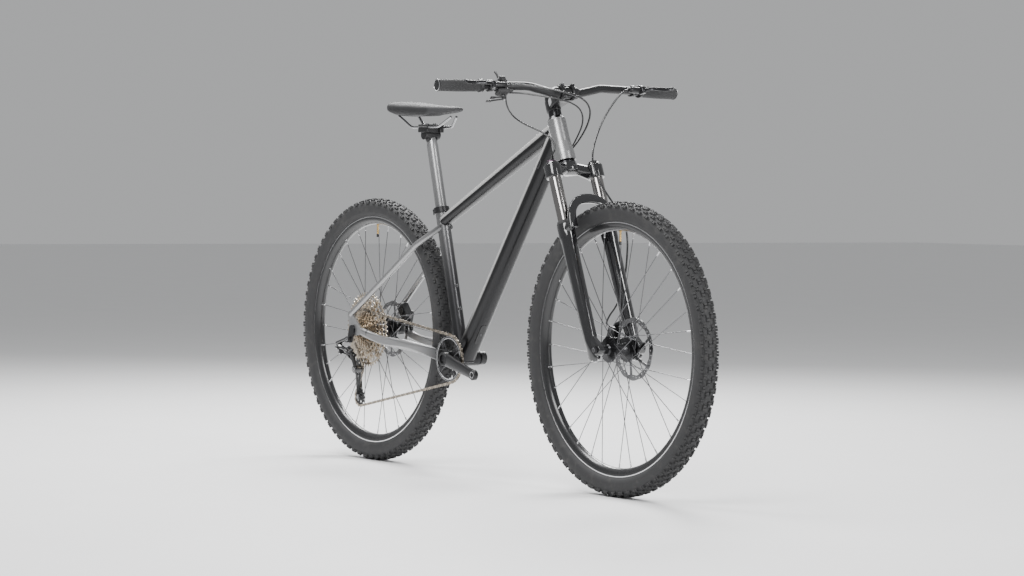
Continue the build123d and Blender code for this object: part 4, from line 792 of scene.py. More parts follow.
def cassette(phase):
    made = Piece("champagne", "dark_steel")
    for index, teeth in enumerate(cog_teeth):
        y = chain_y + (chain_cog - index) * cog_step
        radius = pitch_radius(teeth)
        holes = [circle(0, 0, min(radius - 8.6, 27), 40)]
        if radius > 60:
            for k in range(10):
                low, high = radians(k * 36 + teeth * 9), radians(k * 36 + teeth * 9 + 26)
                near, far = 33.0, radius - 9
                arc = [low + (high - low) * i / 6 for i in range(7)]
                holes.append([(far * cos(a), far * sin(a)) for a in arc]
                             + [(near * cos(a + 0.12), near * sin(a + 0.12))
                                for a in reversed(arc)])
        own = phase if index == chain_cog else phase + index * 7
        made.plate([toothed(teeth, own), *holes], 1.7, (rear_axle.x, y, rear_axle.z))
        if index:
            rim_r = min(radius - 5, 28)
            bore = max(11.6, rim_r - 7)
            made.lathe(washer(bore, y, rim_r, y + 3.5),
                       rear_axle, seg=40, mark=1)
    made.lathe([(9.1, -72.5), (13.5, -72.5), (14.5, -71.8), (14.5, -70.6), (11.5, -70.5),
                (11.5, -29.9), (9.1, -29.9)], rear_axle, seg=36, mark=1)
    made.make("cassette_cogs", "cassette", "cog_steel", "cassette")


def chainring(phase):
    made = Piece("satin_black", "bright_alloy", "alloy_black")
    spot = bracket + LEFT * chain_y
    made.plate([toothed(ring_teeth, phase), circle(0, 0, 54, 64)], 1.9, spot)
    made.lathe(washer(54.1, chain_y - 1.2, 56.4, chain_y - 0.9), bracket, seg=96, mark=1)
    made.lathe(washer(59.6, chain_y - 1.15, 60.3, chain_y - 0.9), bracket, seg=96, mark=1)
    for k in range(4):
        a = radians(k * 90 + 35)
        ends = [(18, a - 0.5), (40, a - 0.19), (55.5, a - 0.17), (55.5, a + 0.17),
                (40, a + 0.19), (18, a + 0.5)]
        made.plate([[polar(r, t) for r, t in ends],
                    circle(34 * cos(a), 34 * sin(a), 4.0, 14)], 3.2,
                   spot - LEFT * 0.6, 2, bevel=0.4)
    made.lathe(washer(12.05, chain_y - 2.4, 21, chain_y + 1.4), bracket, seg=48, mark=2)
    made.make("chainring_plate", "crankset", "ring_steel", "chainring")
    heads = []
    for k in range(4):
        a = radians(k * 90 + 35)
        heads.append((bracket + Vector((50 * cos(a), chain_y - 2.3, 50 * sin(a))),
                      -LEFT, 3.6, 1.0))
    hex_screws("chainring_screws", "crankset", "ring_steel", heads)


def crank():
    """Both arms with their fixing bolts, the spindle and the pedal eyes."""
    made = Piece("satin_black", "bright_alloy", "alloy_black")
    for side in (-1, 1):
        way = Vector((cos(crank_lean), 0, sin(crank_lean))) * (-side)
        out = LEFT * side
        path = []
        for share in (k / 12 for k in range(13)):
            bow = 57.5 + 22 * share ** 0.85
            path.append(bracket + way * (crank_length * share) + out * bow)
        sizes = [(0, 6.8, 18), (0.12, 6.8, 17.5), (0.5, 6.2, 14.5), (0.88, 6.0, 13.2),
                 (1, 6.0, 13.4)]
        made.sweep(path, sizes, 0, 24, 3.4, out)
        made.rod(bracket + out * 49.6, bracket + out * 68, 18.6, mark=0, seg=48, bore=12,
                 edge=1.5)
        made.lathe([(12, 63), (13.2, 63), (13.2, 68.2), (12.2, 68.2)], bracket, out, 40, 2)
        made.rod(bracket + out * 60, bracket + out * 64.4, 11.9, mark=2, seg=36, bore=5)
        made.rod(bracket + out * 58, bracket + out * 62, 6.0, mark=1, seg=6)
        eye = bracket + way * crank_length
        made.rod(eye + out * 73.2, eye + out * 85.8, 14.2, mark=0, seg=40, bore=7.15, edge=1.6)
        made.lathe(washer(7.14, 73.4, 8.6, 86.0), eye, out, 32, 1)
    made.rod(bracket - LEFT * 58, bracket + LEFT * 58, 12, mark=2, seg=36, bore=9)
    made.make("crank_arm_pair", "crankset", "black_alloy", "crank_arms")


def pulley(name, centre, phase):
    spot = Vector((centre[0], chain_y, centre[1]))
    made = Piece("matt_black", "steel")
    windows = [circle(13 * cos(radians(k * 72)), 13 * sin(radians(k * 72)),
                      3.4, 12) for k in range(5)]
    made.plate([toothed(pulley_teeth, phase, 2.2), circle(0, 0, 6.5, 24), *windows], 1.9, spot)
    made.lathe(washer(2.6, -3.3, 7, 3.3), spot, seg=28, mark=1)
    made.make(name + "_wheel", name.replace("pulley", "wheel"), "control_plastic", name)


# -------------------------------------------------------------- derailleur
link_way = Vector((40, 4, -8))
link_pin = Vector((0, 0.75, 0.66)).normalized()
outer_pivot, inner_pivot = Vector((-612, -97, 322)), Vector((-616, -84, 307))
cage_pivot = (-566.0, 258.0)


def ball(point, radius):
    return (point.x, point.y, point.z, radius)


def drum(a, b, radius, count=14, soft=1.2):
    """Balls whose hull is a round bar from a to b with softened rims."""
    a, b = Vector(a), Vector(b)
    way = (b - a).normalized()
    u, v = across(way)
    made = []
    for end, shift in ((a, soft), (b, -soft)):
        for k in range(count):
            t = tau * k / count
            made.append(ball(end + way * shift + (u * cos(t) + v * sin(t))
                             * (radius - soft), soft))
    return made


def peg(centre, way, half, radius, count=14, soft=1.2):
    """Drum about its middle."""
    return drum(centre - way * half, centre + way * half, radius, count, soft)


def clevis(piece, pivot, reach, tail):
    """Two ears and the pin of a link's pivot, each ear drawn towards reach."""
    for side in (-1, 1):
        ear = pivot + link_pin * (side * 8.4)
        piece.hull(peg(ear, link_pin, 2, 5, 12, 0.7) + [ball(ear + Vector(reach), tail)])
    piece.rod(pivot - link_pin * 11.2, pivot + link_pin * 11.2, 2.9, mark=1, seg=16)


def derailleur():
    hanger = Vector((-575, -86, 342))
    made = Piece("satin_black", "steel", "gloss_black")
    made.hull(drum(hanger, hanger - LEFT * 8, 9.2) + drum(hanger + Vector((-10, -3, -1)),
              hanger + Vector((-10, -9, -1)), 6))
    made.hull([ball(hanger + Vector((-8, -5.5, 1)), 5), ball(outer_pivot + Vector((-13, 2, 8)), 5),
               ball(outer_pivot + Vector((-13, 5, 4)), 4.4)], 2)
    made.hull([ball(outer_pivot + Vector((-13, 2, 8)), 5),
               ball(inner_pivot + Vector((-12, 2, 0)), 4)])
    for pivot in (outer_pivot, inner_pivot):
        clevis(made, pivot, (-11, 2, 2), 2.2)
    made.rod(hanger - LEFT * 8.4, hanger - LEFT * 9.6, 5.2, mark=1, seg=24, bore=2.6)
    made.make("derailleur_upper_shell", "frame", "black_alloy", "derailleur_upper_knuckle")
    for name, pivot in (("outer", outer_pivot), ("inner", inner_pivot)):
        far = pivot + link_way
        link = Piece("gloss_black" if name == "outer" else "satin_black", "bright_alloy")
        for eye, share in ((pivot, 0.3), (far, -0.3)):
            link.hull(peg(eye, link_pin, 5.4, 5.2, 12, 0.8) + [ball(eye + link_way * share, 3.6)])
        link.hull([ball(pivot + link_way * s + link_pin * w, 2.6)
                   for s in (0.15, 0.85) for w in (-3.6, 3.6)])
        if name == "outer":
            rim = link_way.cross(link_pin).normalized()
            link.hull([ball(pivot + link_way * s + link_pin * w - rim * 2.4, 0.8)
                       for s in (0.25, 0.75) for w in (-2, 2)], 1)
        link.make(f"derailleur_{name}_plate", f"{name}_link", "black_alloy",
                  f"derailleur_{name}_link")
    px, pz = cage_pivot
    low = Piece("satin_black", "steel", "gloss_black")
    hub_y = chain_y - 20
    low.hull(drum((px, chain_y - 10, pz), (px, chain_y - 29.5, pz), 10.8, 18, 1.6), 2)
    for pivot in (outer_pivot, inner_pivot):
        far = pivot + link_way
        spine = far + Vector((14, 1, -6))
        clevis(low, far, (13, 1, -6), 2.4)
        low.hull([ball(spine + link_pin * 8, 3.8), ball(spine - link_pin * 8, 3.8)])
        low.hull([ball(spine, 4.6), (px, hub_y - 2, pz, 5)])
    low.rod((px, chain_y - 29.4, pz), (px, chain_y - 30.2, pz), 6, mark=1, seg=24, bore=2.2)
    low.rod((px, chain_y - 10, pz), (px, chain_y - 3, pz), 3.95, mark=1, seg=20)
    low.make("derailleur_lower_shell", "lower_knuckle", "black_alloy",
             "derailleur_lower_knuckle")
    cage = Piece("gloss_black", "steel")
    for y, rings in ((chain_y - 7.5, ((px, pz, 9.6), (*guide, 8), (*tension, 8.6))),
                     (chain_y + 5.4, ((*guide, 8), (*tension, 8.6)))):
        for a, b in zip(rings, rings[1:] + rings[:1] if len(rings) > 2 else rings[1:]):
            balls = []
            for x, z, r in (a, b):
                balls += drum((x, y - 0.95, z), (x, y + 0.95, z), r * 0.62, 14, 0.5)
            cage.hull(balls)
        for x, z, r in rings:
            cage.rod((x, y - 1, z), (x, y + 1, z), r, seg=28, edge=0.4)
    for x, z in (guide, tension):
        cage.rod((x, chain_y - 9.4, z), (x, chain_y + 7, z), 2.45, mark=1, seg=14)
        cage.rod((x, chain_y - 10, z), (x, chain_y - 8.5, z), 4.2, mark=1, seg=18, bore=1.8)
    cage.make("derailleur_cage_plates", "pulley_cage", "black_alloy", "derailleur_cage")


# ------------------------------------------------------------------- frame
down_low = bracket + Vector((8, 0, 4))
down_high = steer(0, 0, head_low + 78)
top_rear = bracket + seat_up * 380
top_front = steer(0, 0, head_high - 22)


def head_radius(t):
    if t < head_low + 20:
        return 28.0
    share = min(1, (t - head_low - 20) / (0.45 * 115 - 20))
    return 28.0 - 4.0 * share


def in_head(p):
    q = p - steer_o
    t = q.dot(steer_up)
    radius = hypot(q.dot(steer_fwd), q.y)
    return head_low < t < head_high and radius < head_radius(t)


def in_seat(p):
    q = p - bracket
    t = q.dot(seat_up)
    return 0 < t < 420 and (q - seat_up * t).length < 18


def in_shell(p):
    return abs(p.y) < 36.5 and hypot(p.x - bracket.x, p.z - bracket.z) < 21


def section(a, b, size_a, size_b, s, turn, power=2.8):
    way = (b - a).normalized()
    v = way.cross(LEFT)
    wide, deep = ((p + (q - p) * s) / 2 for p, q in zip(size_a, size_b))
    return (a + (b - a) * s + LEFT * wide * signed(cos(turn), power)
            + v * deep * signed(sin(turn), power))


def bead(piece, ring, radius=1.7):
    """Weld bead: a rippled roll laid along a closed line."""
    count = len(ring)
    rings = []
    for i, here in enumerate(ring):
        way = (ring[(i + 1) % count] - ring[i - 1]).normalized()
        u, v = across(way)
        r = radius * (0.82 + 0.3 * abs(sin(i * 0.9)))
        rings.append([here + u * r * cos(t) + v * r * sin(t) for t in turns(8)])
    piece.grid(rings)


def main_tubes():
    welds = Piece("grey")
    specs = (("down_tube", down_low, down_high, (54, 46), (45, 50), (in_seat, in_shell)),
             ("top_tube", top_rear, top_front, (32, 31), (40, 40), (in_seat,)))
    for name, a, b, size_a, size_b, rear_tests in specs:
        tube = Piece("paint")
        rings = [[section(a, b, size_a, size_b, i / 30, t) for t in turns(48)]
                 for i in range(31)]
        tube.grid(rings, wrap=False, caps=True)
        tube.make(name + "_skin", "frame", "frame_paint", name, sharp=60)
        for tests, order in ((rear_tests, range(0, 500)), ((in_head,), range(1000, 500, -1))):
            ring = []
            for turn in turns(150):
                for i in order:
                    p = section(a, b, size_a, size_b, i / 1000, turn)
                    if not any(test(p) for test in tests):
                        spot = p
                        if i not in (0, 1000):
                            break
                ring.append(spot)
            bead(welds, ring)
    for side in (-1, 1):
        foot = seat_top - seat_up * 55 + Vector((2, side * 15.5, 3))
        loop = [foot + seat_up * sin(t) * 10 + seat_fwd * cos(t) * 8.2
                + LEFT * side * (0.6 * cos(t) + 1.2) for t in turns(60)]
        bead(welds, loop, 1.2)
    for low, high in ((head_low, 0.8), (head_high, -0.8)):
        ring = [steer_o + steer_up * (low + high) + (steer_fwd * cos(t) + LEFT * sin(t))
                * (head_radius(low + high) - 0.2) for t in turns(90)]
        bead(welds, ring, 0.5)
    welds.make("frame_welds", "frame", "frame_paint", sharp=80)


def port_and_cover():
    """Rubber port plugs, the service cover under the down tube and the bottle screws."""
    made = Piece("matt_black", "soft_rubber", "satin_black")
    way = (down_high - down_low).normalized()
    centre = down_low + (down_high - down_low) * 0.868
    for side in (-1, 1):
        for long, tall, proud, mark in ((26, 11, 1.1, 1), (19, 5.5, 1.6, 2)):
            made.plate([pill(long, tall)], 3, centre + LEFT * side * (21.6 + proud), mark,
                       way, way.cross(LEFT), bevel=0.5)
    for x, z in ((250, 839), (242, 826)):
        made.rod((x, 22.1, z), (x, 26.8, z), 3.6, 3.1, mark=1, seg=20)
    under = Vector((way.z, 0, -way.x))
    spot = down_low + way * 95 + under * 23.4
    made.plate([pill(64, 18)], 2.4, spot, 2, way, LEFT, bevel=0.6)
    made.make("frame_ports_cover", "frame", "control_plastic", "frame_fittings")
    heads = [(spot + under, under, 3.2, 1.6)]
    heads += [(bracket + seat_up * height + seat_fwd * 18.2, seat_fwd, 4.2, 3.4)
              for height in (134, 198)]
    hex_screws("frame_screws", "frame", "control_plastic", heads)


def dress(node, finish_name, slot):
    """Keeps a CAD node as it is and gives it its finish."""
    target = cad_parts[node]
    target.data.materials.clear()
    target.data.materials.append(M[finish_name])


def carried_over():
    rows = {
        "grey": ("head_tube seat_tube chainstays seatstays dropouts", "frame_paint"),
        "paint": ("bottom_bracket_shell", "frame_paint"),
        "alloy_black": ("derailleur_hanger rear_thru_axle front_thru_axle frame_bearings "
                        "headset_spacers", "black_alloy"),
        "chrome_dark": ("stanchions", "stanchion_chrome"),
        "satin_black": ("rear_brake_caliper front_brake_caliper handlebar seat_clamp",
                        "black_alloy"),
    }
    for finish_name, (nodes, slot) in rows.items():
        for node in nodes.split():
            dress(node, finish_name, slot)


def frame_trim():
    """Seam band on each chainstay, the rear caliper's screws and the collar's screw."""
    bands = Piece("satin_black")
    for side in (-1, 1):
        seam = Vector((-499, side * 71.4, 362.6))
        bead(bands, [seam + Vector((0.1, 0, 1)) * 11.9 * sin(t) + LEFT * 7.4 * cos(t)
                     for t in turns(40)], 0.7)
    bands.make("chainstay_seams", "frame", "frame_paint")
    caliper = rear_axle + Vector((62, 54, 52))
    slope = radians(50)
    heads = []
    for shift in (-17, 17):
        spot = caliper + Vector((cos(slope), 0, -sin(slope))) * shift
        heads += [(spot + LEFT * 11.6, LEFT, 3.6, 2.2), (spot - LEFT * 11.6, -LEFT, 3.0, 1.6)]
    ear = seat_top - seat_up * 6 - Vector((26, 0, 0))
    heads.append((ear - LEFT * 8, -LEFT, 4.2, 2.4))
    hex_screws("frame_brake_screws", "frame", "black_alloy", heads)


# -------------------------------------------------------------------- fork
def fork():
    n = leg_n
    crown = Piece("gloss_black", "alloy_black", "chrome_dark")
    for side in (-1, 1):
        y = side * leg_y
        crown.hull(drum(steer(n, y, 467.5), steer(n, y, 502.5), 22.4, 24, 2.5))
        crown.hull([ball(steer(n - 2, y * 0.86, 484), 15), ball(steer(8, side * 30, 497), 13),
                    ball(steer(12, side * 22, 498), 14), ball(steer(n - 8, y * 0.8, 482), 15)])
    crown.hull([ball(steer(6, -26, 498), 14), ball(steer(6, 26, 498), 14),
                ball(steer(16, 0, 500), 13), ball(steer(-10, 0, 500), 13)])
    crown.hull(drum(steer(0, 0, 497), steer(0, 0, 515), 26.8, 28, 2.0))
    crown.lathe([(19, 515), (25.3, 515), (25.3, 519), (22, 522.5), (19, 522.5)],
                steer_o, steer_up, 48, 1)
    crown.make("fork_crown_forging", "steering", "fork_gloss", "fork_crown")
    shaft = Piece("alloy_black").rod(steer(0, 0, 505), steer(0, 0, 700), 14.2, seg=32)
    shaft.make("fork_steerer", "steering", "black_alloy")
    caps = Piece("gloss_black", "violet_glint", "satin_black")
    for side in (-1, 1):
        y = side * leg_y
        caps.lathe([(0.01, 503), (18.8, 503), (18.8, 505.6), (17.4, 507.0), (0.01, 507.2)],
                   steer_o + steer_fwd * n + LEFT * y, steer_up, 40)
        mark = 1 if side < 0 else 2
        profile = [(0.01, 507), (12.3, 507), (12.3, 511), (10.8, 513.8), (0.01, 514)]
        caps.lathe(profile, steer_o + steer_fwd * n + LEFT * y, steer_up, 12 if side > 0 else 36,
                   mark)
    caps.make("fork_leg_caps", "steering", "fork_gloss", "fork_caps")
    low = Piece("gloss_black", "soft_rubber", "steel", "alloy_black")
    for side in (-1, 1):
        y = side * leg_y
        axis = steer_o + steer_fwd * n + LEFT * y
        low.lathe([(0.01, -21.8), (11, -21.8), (15, -16), (17.2, 30), (18.2, 80), (19.3, 200),
                   (20.2, 290), (21.6, 300), (22.0, 306), (22.0, 336), (21.2, 340), (16.3, 340),
                   (16.3, 44), (0.01, 44)], axis, steer_up, 56)
        low.lathe([(16.05, 339.8), (21.4, 339.8), (21.8, 342), (20.8, 344.5), (18.8, 349.8),
                   (16.05, 349.9)], axis, steer_up, 48, 1)
        low.hull(drum(steer(axle_n, side * 55.2, 0), steer(axle_n, y + side * 7.8, 0),
                      14.6, 24, 1.5)
                 + [ball(steer(n, y, 42), 13), ball(steer(n, y, 8), 13)])
        low.rod(steer(n, y, -21.5), steer(n, y, -25), 6.4, mark=2, seg=6)
        low.hull([ball(steer(n + 4, side * (leg_y + 4), 322), 15),
                  ball(steer(56, side * 70, 332), 8),
                  ball(steer(56, side * 66, 346), 7), ball(steer(n + 6, side * 62, 330), 14)])
    arch = [steer(57, 66 * signed(cos(t), 2.5), 322 + 78 * signed(sin(t), 2.5))
            for t in [pi * k / 44 for k in range(45)]]
    wide = [(0, 7.4, 12.5), (0.22, 6.4, 10.5), (0.5, 6.6, 12.5), (0.78, 6.4, 10.5),
            (1, 7.4, 12.5)]
    low.sweep(arch, wide, 0, 24, 3.2, steer_fwd)
    low.lathe(washer(7.6, 55.05, 9.8, 54.9), steer(axle_n, 0, 0), LEFT, 32, 3)
    low.make("fork_lower_casting", "fork_slider", "fork_gloss", "fork_lowers")
    heads = [(steer(axle_n, -80, 0), -LEFT, 6.0, 0.9)]
    for t in (38, 84):
        heads.append((steer(-14, 54 + 7.5, t), LEFT, 3.4, 2.0))
    hex_screws("fork_screws", "fork_slider", "black_alloy", heads)


# ----------------------------------------------------------------- cockpit
bar_root, bar_end = Vector((61, -115, 703)), Vector((37, -378, 708))
bar_z = (bar_end - bar_root).normalized()
bar_x = (Vector((1, 0, 0)) - bar_z * bar_z.x).normalized()
bar_y = bar_z.cross(bar_x)


def on_bar(distance, x=0.0, y=0.0, z=0.0, side=-1):
    """Frame point near the bar: x forward, y up and z outboard of the place at distance."""
    spot = bar_root + (bar_end - bar_root) * ((distance - 115) / 263)
    spot = spot + bar_x * x + bar_y * y + bar_z * z
    made = steer(*spot)
    return Vector((made.x, -made.y, made.z)) if side > 0 else made


def grips():
    made = Piece("soft_rubber", "satin_black", "bright_alloy")
    for side in (-1, 1):
        foot = on_bar(248, side=side)
        way = on_bar(300, side=side) - foot
        profile = [(11.15, 9.8), (15.2, 9.8)]
        for k in range(56):
            h = 12 + 2.0 * k
            swell = 0.7 * cos((k - 28) / 28 * pi)
            profile.append((14.9 + swell * 0.5 + (0.55 if k % 2 else 0.0), h))
        profile += [(15.9, 125.5), (15.4, 127), (11.15, 127)]
        made.lathe(profile, foot, way, 40)
        made.lathe([(11.15, 0), (16.3, 0), (16.9, 0.7), (16.9, 9.2), (16.3, 9.8), (11.15, 9.8)],
                   foot, way, 40, 1)
        made.lathe([(0.01, 126.8), (15.6, 126.8), (15.9, 127.6), (15.4, 129.4), (13.2, 129.9),
                    (0.01, 129.6)], foot, way, 40, 1)
        made.lathe([(13.4, 129.5), (15.2, 129.2), (15.5, 129.5), (13.8, 130.0)],
                   foot, way, 40, 2)
    made.make("grip_sleeves", "steering", "soft_rubber", "grips", sharp=25)


def stem():
    made = Piece("satin_black", "stem_grey", "alloy_black")
    made.hull(drum(steer(0, 0, 662.3), steer(0, 0, 701.7), 18.3, 28, 2.2))
    back = [ball(steer(bar_n - 17, y, bar_t + t), 2.6) for y in (-21, 21) for t in (-15, 15)]
    made.hull(drum(steer(2, 0, 668), steer(2, 0, 697), 15.6, 22, 3) + back)
    made.hull([ball(steer(n, y, bar_t + t), 2.2) for n in (bar_n - 19, bar_n - 3.4)
               for y in (-21.6, 21.6) for t in (-16.5, 16.5)])
    for side in (-1, 1):
        made.hull([ball(steer(n, side * y, t), 0.9) for n, y, t in
                   ((6, 16.6, 675), (6, 16.6, 690), (36, 20.4, 684), (36, 20.4, 703))], 1)
    made.hull([ball(steer(n, y, t), 0.8) for n, y, t in
               ((10, -9, 699.6), (10, 9, 699.6), (36, -14, 705.5), (36, 14, 705.5))], 1)
    made.hull([ball(steer(n, y, t), 1.6) for n in (-22.5, -12) for y in (-5.4, 5.4)
               for t in (667, 697)])
    made.make("stem_body", "steering", "black_alloy", "stem")
    plate = Piece("satin_black", "alloy_black")
    for y in (-16.8, 16.8):
        arc = [steer(bar_n + 18.3 * cos(t), y, bar_t + 18.3 * sin(t))
               for t in [radians(-86 + 8.6 * k) for k in range(21)]]
        plate.sweep(arc, [(0, 6.2, 2.3), (1, 6.2, 2.3)], 0, 16, 3.6, LEFT)
        for t in (-16.4, 16.4):
            plate.hull(drum(steer(bar_n + 4, y, bar_t + t), steer(bar_n + 17.5, y, bar_t + t),
                            5.0, 14, 0.9))
    for t in (-13.5, 13.5):
        plate.hull([ball(steer(bar_n + 13.2, y, bar_t + t), 2.4) for y in (-14, 14)])
    plate.make("stem_clamp_plate", "steering", "black_alloy", "stem_faceplate")
    heads = [(steer(bar_n + 17.6, y, bar_t + t), steer_fwd, 3.4, 3.4)
             for y in (-16.8, 16.8) for t in (-16.4, 16.4)]
    heads += [(steer(-20, 7.2, t), LEFT, 3.4, 2.6) for t in (672, 692)]
    heads += [(steer(0, 0, 706.2), steer_up, 4.2, 2.0)]
    hex_screws("stem_screws", "steering", "black_alloy", heads)


def band(piece, distance, radius, width, side, mark=0):
    foot = on_bar(distance, z=-width / 2, side=side)
    way = on_bar(distance, z=width / 2, side=side) - foot
    piece.lathe([(11.15, 0), (radius - 0.6, 0), (radius, 0.8), (radius, width - 0.8),
                 (radius - 0.6, width), (11.15, width)], foot, way, 40, mark)


def brake_levers():
    bodies = Piece("satin_black", "alloy_black", "steel")
    heads = []
    for side, name in ((-1, "right"), (1, "left")):
        def at(x, y, z):
            return on_bar(226, x, y, z, side)
        band(bodies, 226, 15.2, 12.6, side)
        bodies.hull([ball(at(24, -8, -26), 8.2), ball(at(24, -8, 2), 8.3),
                     ball(at(23, -8, -12), 8.6)])
        bodies.hull(drum(at(24, -8, -34), at(24, -8, -26), 5.6, 16, 1.0), 1)
        bodies.hull([ball(at(10, -8, 0), 6), ball(at(24, -8, 0), 6), ball(at(11, 0, 0), 4),
                     ball(at(24, -6, -4), 6)])
        for y in (-18.5, -3.5):
            bodies.hull(drum(at(33, y - 1.4, 8), at(33, y + 1.4, 8), 6.2, 16, 0.5)
                        + drum(at(25, y - 1.4, 4), at(25, y + 1.4, 4), 4, 10, 0.5))
        bodies.rod(at(33, -20.4, 8), at(33, -1.6, 8), 2.4, mark=2, seg=16)
        heads.append((at(11.6, -14.4, 0), at(0, -1, 0) - at(0, 0, 0), 2.9, 2.2))
        blade = Piece("alloy_black", "bright_alloy")
        path = smooth_path([at(33, -11, 8), at(42, -11, 22), at(46.5, -11, 36),
                            at(45.4, -11, 62), at(48, -11, 84), at(53, -11, 99)], 7)
        depth = at(0, 1, 0) - at(0, 0, 0)
        blade.sweep(path, [(0, 4.7, 2.8), (0.35, 4.4, 2.2), (0.8, 5.0, 1.9), (1, 4.4, 2.4)],
                    0, 18, 2.6, depth)
        blade.hull(drum(at(33, -16.6, 8), at(33, -5.4, 8), 6.1, 18, 0.8))
        blade.hull([ball(at(53, -14, 99), 1.9), ball(at(53, -8, 99), 1.9),
                    ball(at(51.5, -11, 95), 3)])
        blade.make(f"{name}_brake_blade", f"{name}_lever", "lever_alloy", f"{name}_brake_lever")
    bodies.make("brake_lever_housings", "steering", "black_alloy", "brake_lever_bodies")
    hex_screws("brake_lever_screws", "steering", "black_alloy", heads)


def controls():
    def pod(x, y, z):
        return on_bar(206, x, y, z)

    def remote(x, y, z):
        return on_bar(186, x, y, z)

    made = Piece("matt_black", "gloss_black", "steel")
    band(made, 206, 14.8, 7.8, -1)
    made.hull([ball(pod(7, -11, 0), 4.4), ball(pod(12, -18, 0), 4)])
    made.hull([ball(pod(x, y, z), 5.8) for x, y, z in
               ((6.4, -23.4, -15), (27, -24, -14), (6.4, -24, 7), (24, -23, 8), (17, -28, -4),
                (10, -27.6, -12))])
    made.hull([ball(pod(x, -17.6, z), 1.6) for x in (9, 24) for z in (-12, 4)], 1)
    made.rod(pod(17, -46.4, -4), pod(17, -33, -4), 2.9, mark=2, seg=16)
    made.rod(pod(20, -22, -22), pod(21, -21, -32), 3.6, 3.0, mark=0, seg=14)
    band(made, 186, 14.8, 8.8, -1)
    made.hull([ball(remote(-3, 12, 0), 4.4), ball(remote(7, 13, 0), 4.4),
               ball(remote(2, 16, 0), 5)])
    made.hull(drum(remote(2, 17, -5), remote(2, 17, 8), 8.8, 20, 1.2))
    made.rod(remote(2, 17, 8), remote(2, 17, 14.2), 2.4, mark=2, seg=16)
    made.make("bar_control_housings", "steering", "control_plastic", "bar_controls")
    for name, low, high, rx, rz in (("upshift", -39.5, -35, -6, 30),
                                    ("downshift", -45, -40.5, -16, 38)):
        lever = Piece("matt_black", "satin_black")
        mid = (low + high) / 2
        lever.hull(drum(pod(17, low, -4), pod(17, high, -4), 5.9, 16, 0.6))
        lever.hull([ball(pod(17, mid, -4), 2.1), ball(pod(17 + rx, mid, -4 + rz), 2.1)])
        lever.hull([ball(pod(17 + rx + dx, mid, -4 + rz + dz), 2.1)
                    for dx, dz in ((-3.6, 3), (3.4, 4), (-4, -7), (3, -7))], 1)
        lever.make(f"{name}_paddle", name, "control_plastic", f"{name}_lever")
    hook = Piece("matt_black")
    hook.hull(drum(remote(2, 17, 8.4), remote(2, 17, 13.6), 5.9, 16, 0.6))
    hook.hull([ball(remote(1, 18, 11), 2.5), ball(remote(-3, 32, 11), 2.5)])
    hook.hull([ball(remote(-3, 32, 11), 2.5), ball(remote(-8, 42, 8.6), 1.7),
               ball(remote(-8, 42, 13.4), 1.7)])
    hook.make("lockout_paddle", "lockout", "control_plastic", "lockout_lever")


def hose(name, bodies, points, radius, node, bend):
    """Tube along its control points; with a bend given it is made a plain mesh left in place, else
    it rides on the first body.
    """
    curve = bpy.data.curves.new(name, "CURVE")
    curve.dimensions = "3D"
    line = curve.splines.new("NURBS")
    line.points.add(len(points) - 1)
    for spot, p in zip(line.points, points):
        spot.co = (p[0] * MM, p[1] * MM, p[2] * MM, 1)
    line.use_endpoint_u = True
    line.order_u = 3
    curve.resolution_u = 10
    curve.use_fill_caps = True
    made = bpy.data.objects.new(name, curve)
    bpy.context.scene.collection.objects.link(made)
    length = line.calc_length(resolution=64)
    if bend:
        bare = bpy.data.meshes.new_from_object(made)
        path = [tuple(v.co) for v in bare.vertices]
    curve.bevel_depth = radius * MM
    curve.bevel_resolution = 4
    if bend:
        bpy.context.view_layer.update()
        mesh = bpy.data.meshes.new_from_object(made)
        bpy.data.objects.remove(made)
        made = bpy.data.objects.new(name, mesh)
        bpy.context.scene.collection.objects.link(made)
    made.data.materials.append(M["hose_jacket"])
    if bend:
        for face in made.data.polygons:
            face.use_smooth = True
        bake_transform(made)
    else:
        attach(made, bodies[0])
    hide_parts(node)
    return made, length, path if bend else None


def hoses():
    rows = (
        ("rear_brake_line", ("steering", "frame"), 2.5, "rear_brake_hose",
         ((339, -170, 1029.6), (250, 30, 839)), [
            (339.0, -193.2, 1029.6), (350, -164, 1032), (356, -118, 1029), (367, -66, 1021),
            (374, -14, 1012), (371, 32, 997), (357, 60, 970), (333, 67, 934), (301, 64, 896),
            (273, 52, 864), (256, 41, 846), (250, 33, 839), (250, 23.3, 839)]),
        ("shift_line", ("steering", "frame"), 2.2, "shift_cable",
         ((339.9, -165, 1010.5), (242, 30, 826)), [
            (339.9, -185.4, 1010.5), (347, -158, 1011), (354, -112, 1006), (363, -62, 1001),
            (366, -12, 991), (360, 26, 974), (344, 46, 942), (315, 47, 902), (282, 44, 862),
            (255, 37, 836), (242, 31, 826), (242, 23.3, 826)]),
        ("lockout_line", ("steering",), 2.2, "lockout_cable", (), [
            (310.1, -180.2, 1045), (305, -166, 1044), (280, -154, 1022), (262, -142, 986),
            (264, -124, 956), (284, -103, 936), (310, -82, 922), (334, -64, 908),
            (354, -54, 889), (364, -56, 868), (352.9, -66, 854), (357.9, -66, 841.4)]),
        ("front_brake_line", ("steering", "fork_slider"), 2.5, "front_brake_hose",
         ((395, 42, 823), (461, 92, 520)), [
            (339.0, 193.2, 1030), (350, 166, 1024), (338, 140, 988), (327, 116, 942),
            (342, 84, 894), (376, 50, 855.5), (395, 42, 823), (417.5, 48, 782.5),
            (441.5, 62, 743.5), (464.5, 84, 701.5), (467, 99, 650.5), (464, 99, 585),
            (461, 92, 520), (450, 78, 472), (436, 64, 446), (437, 52, 420),
            (472.8, 50, 414.9)]),
    )
    for name, bodies, radius, node, bend, points in rows:
        made, length, path = hose(name, bodies, points, radius, node, bend)


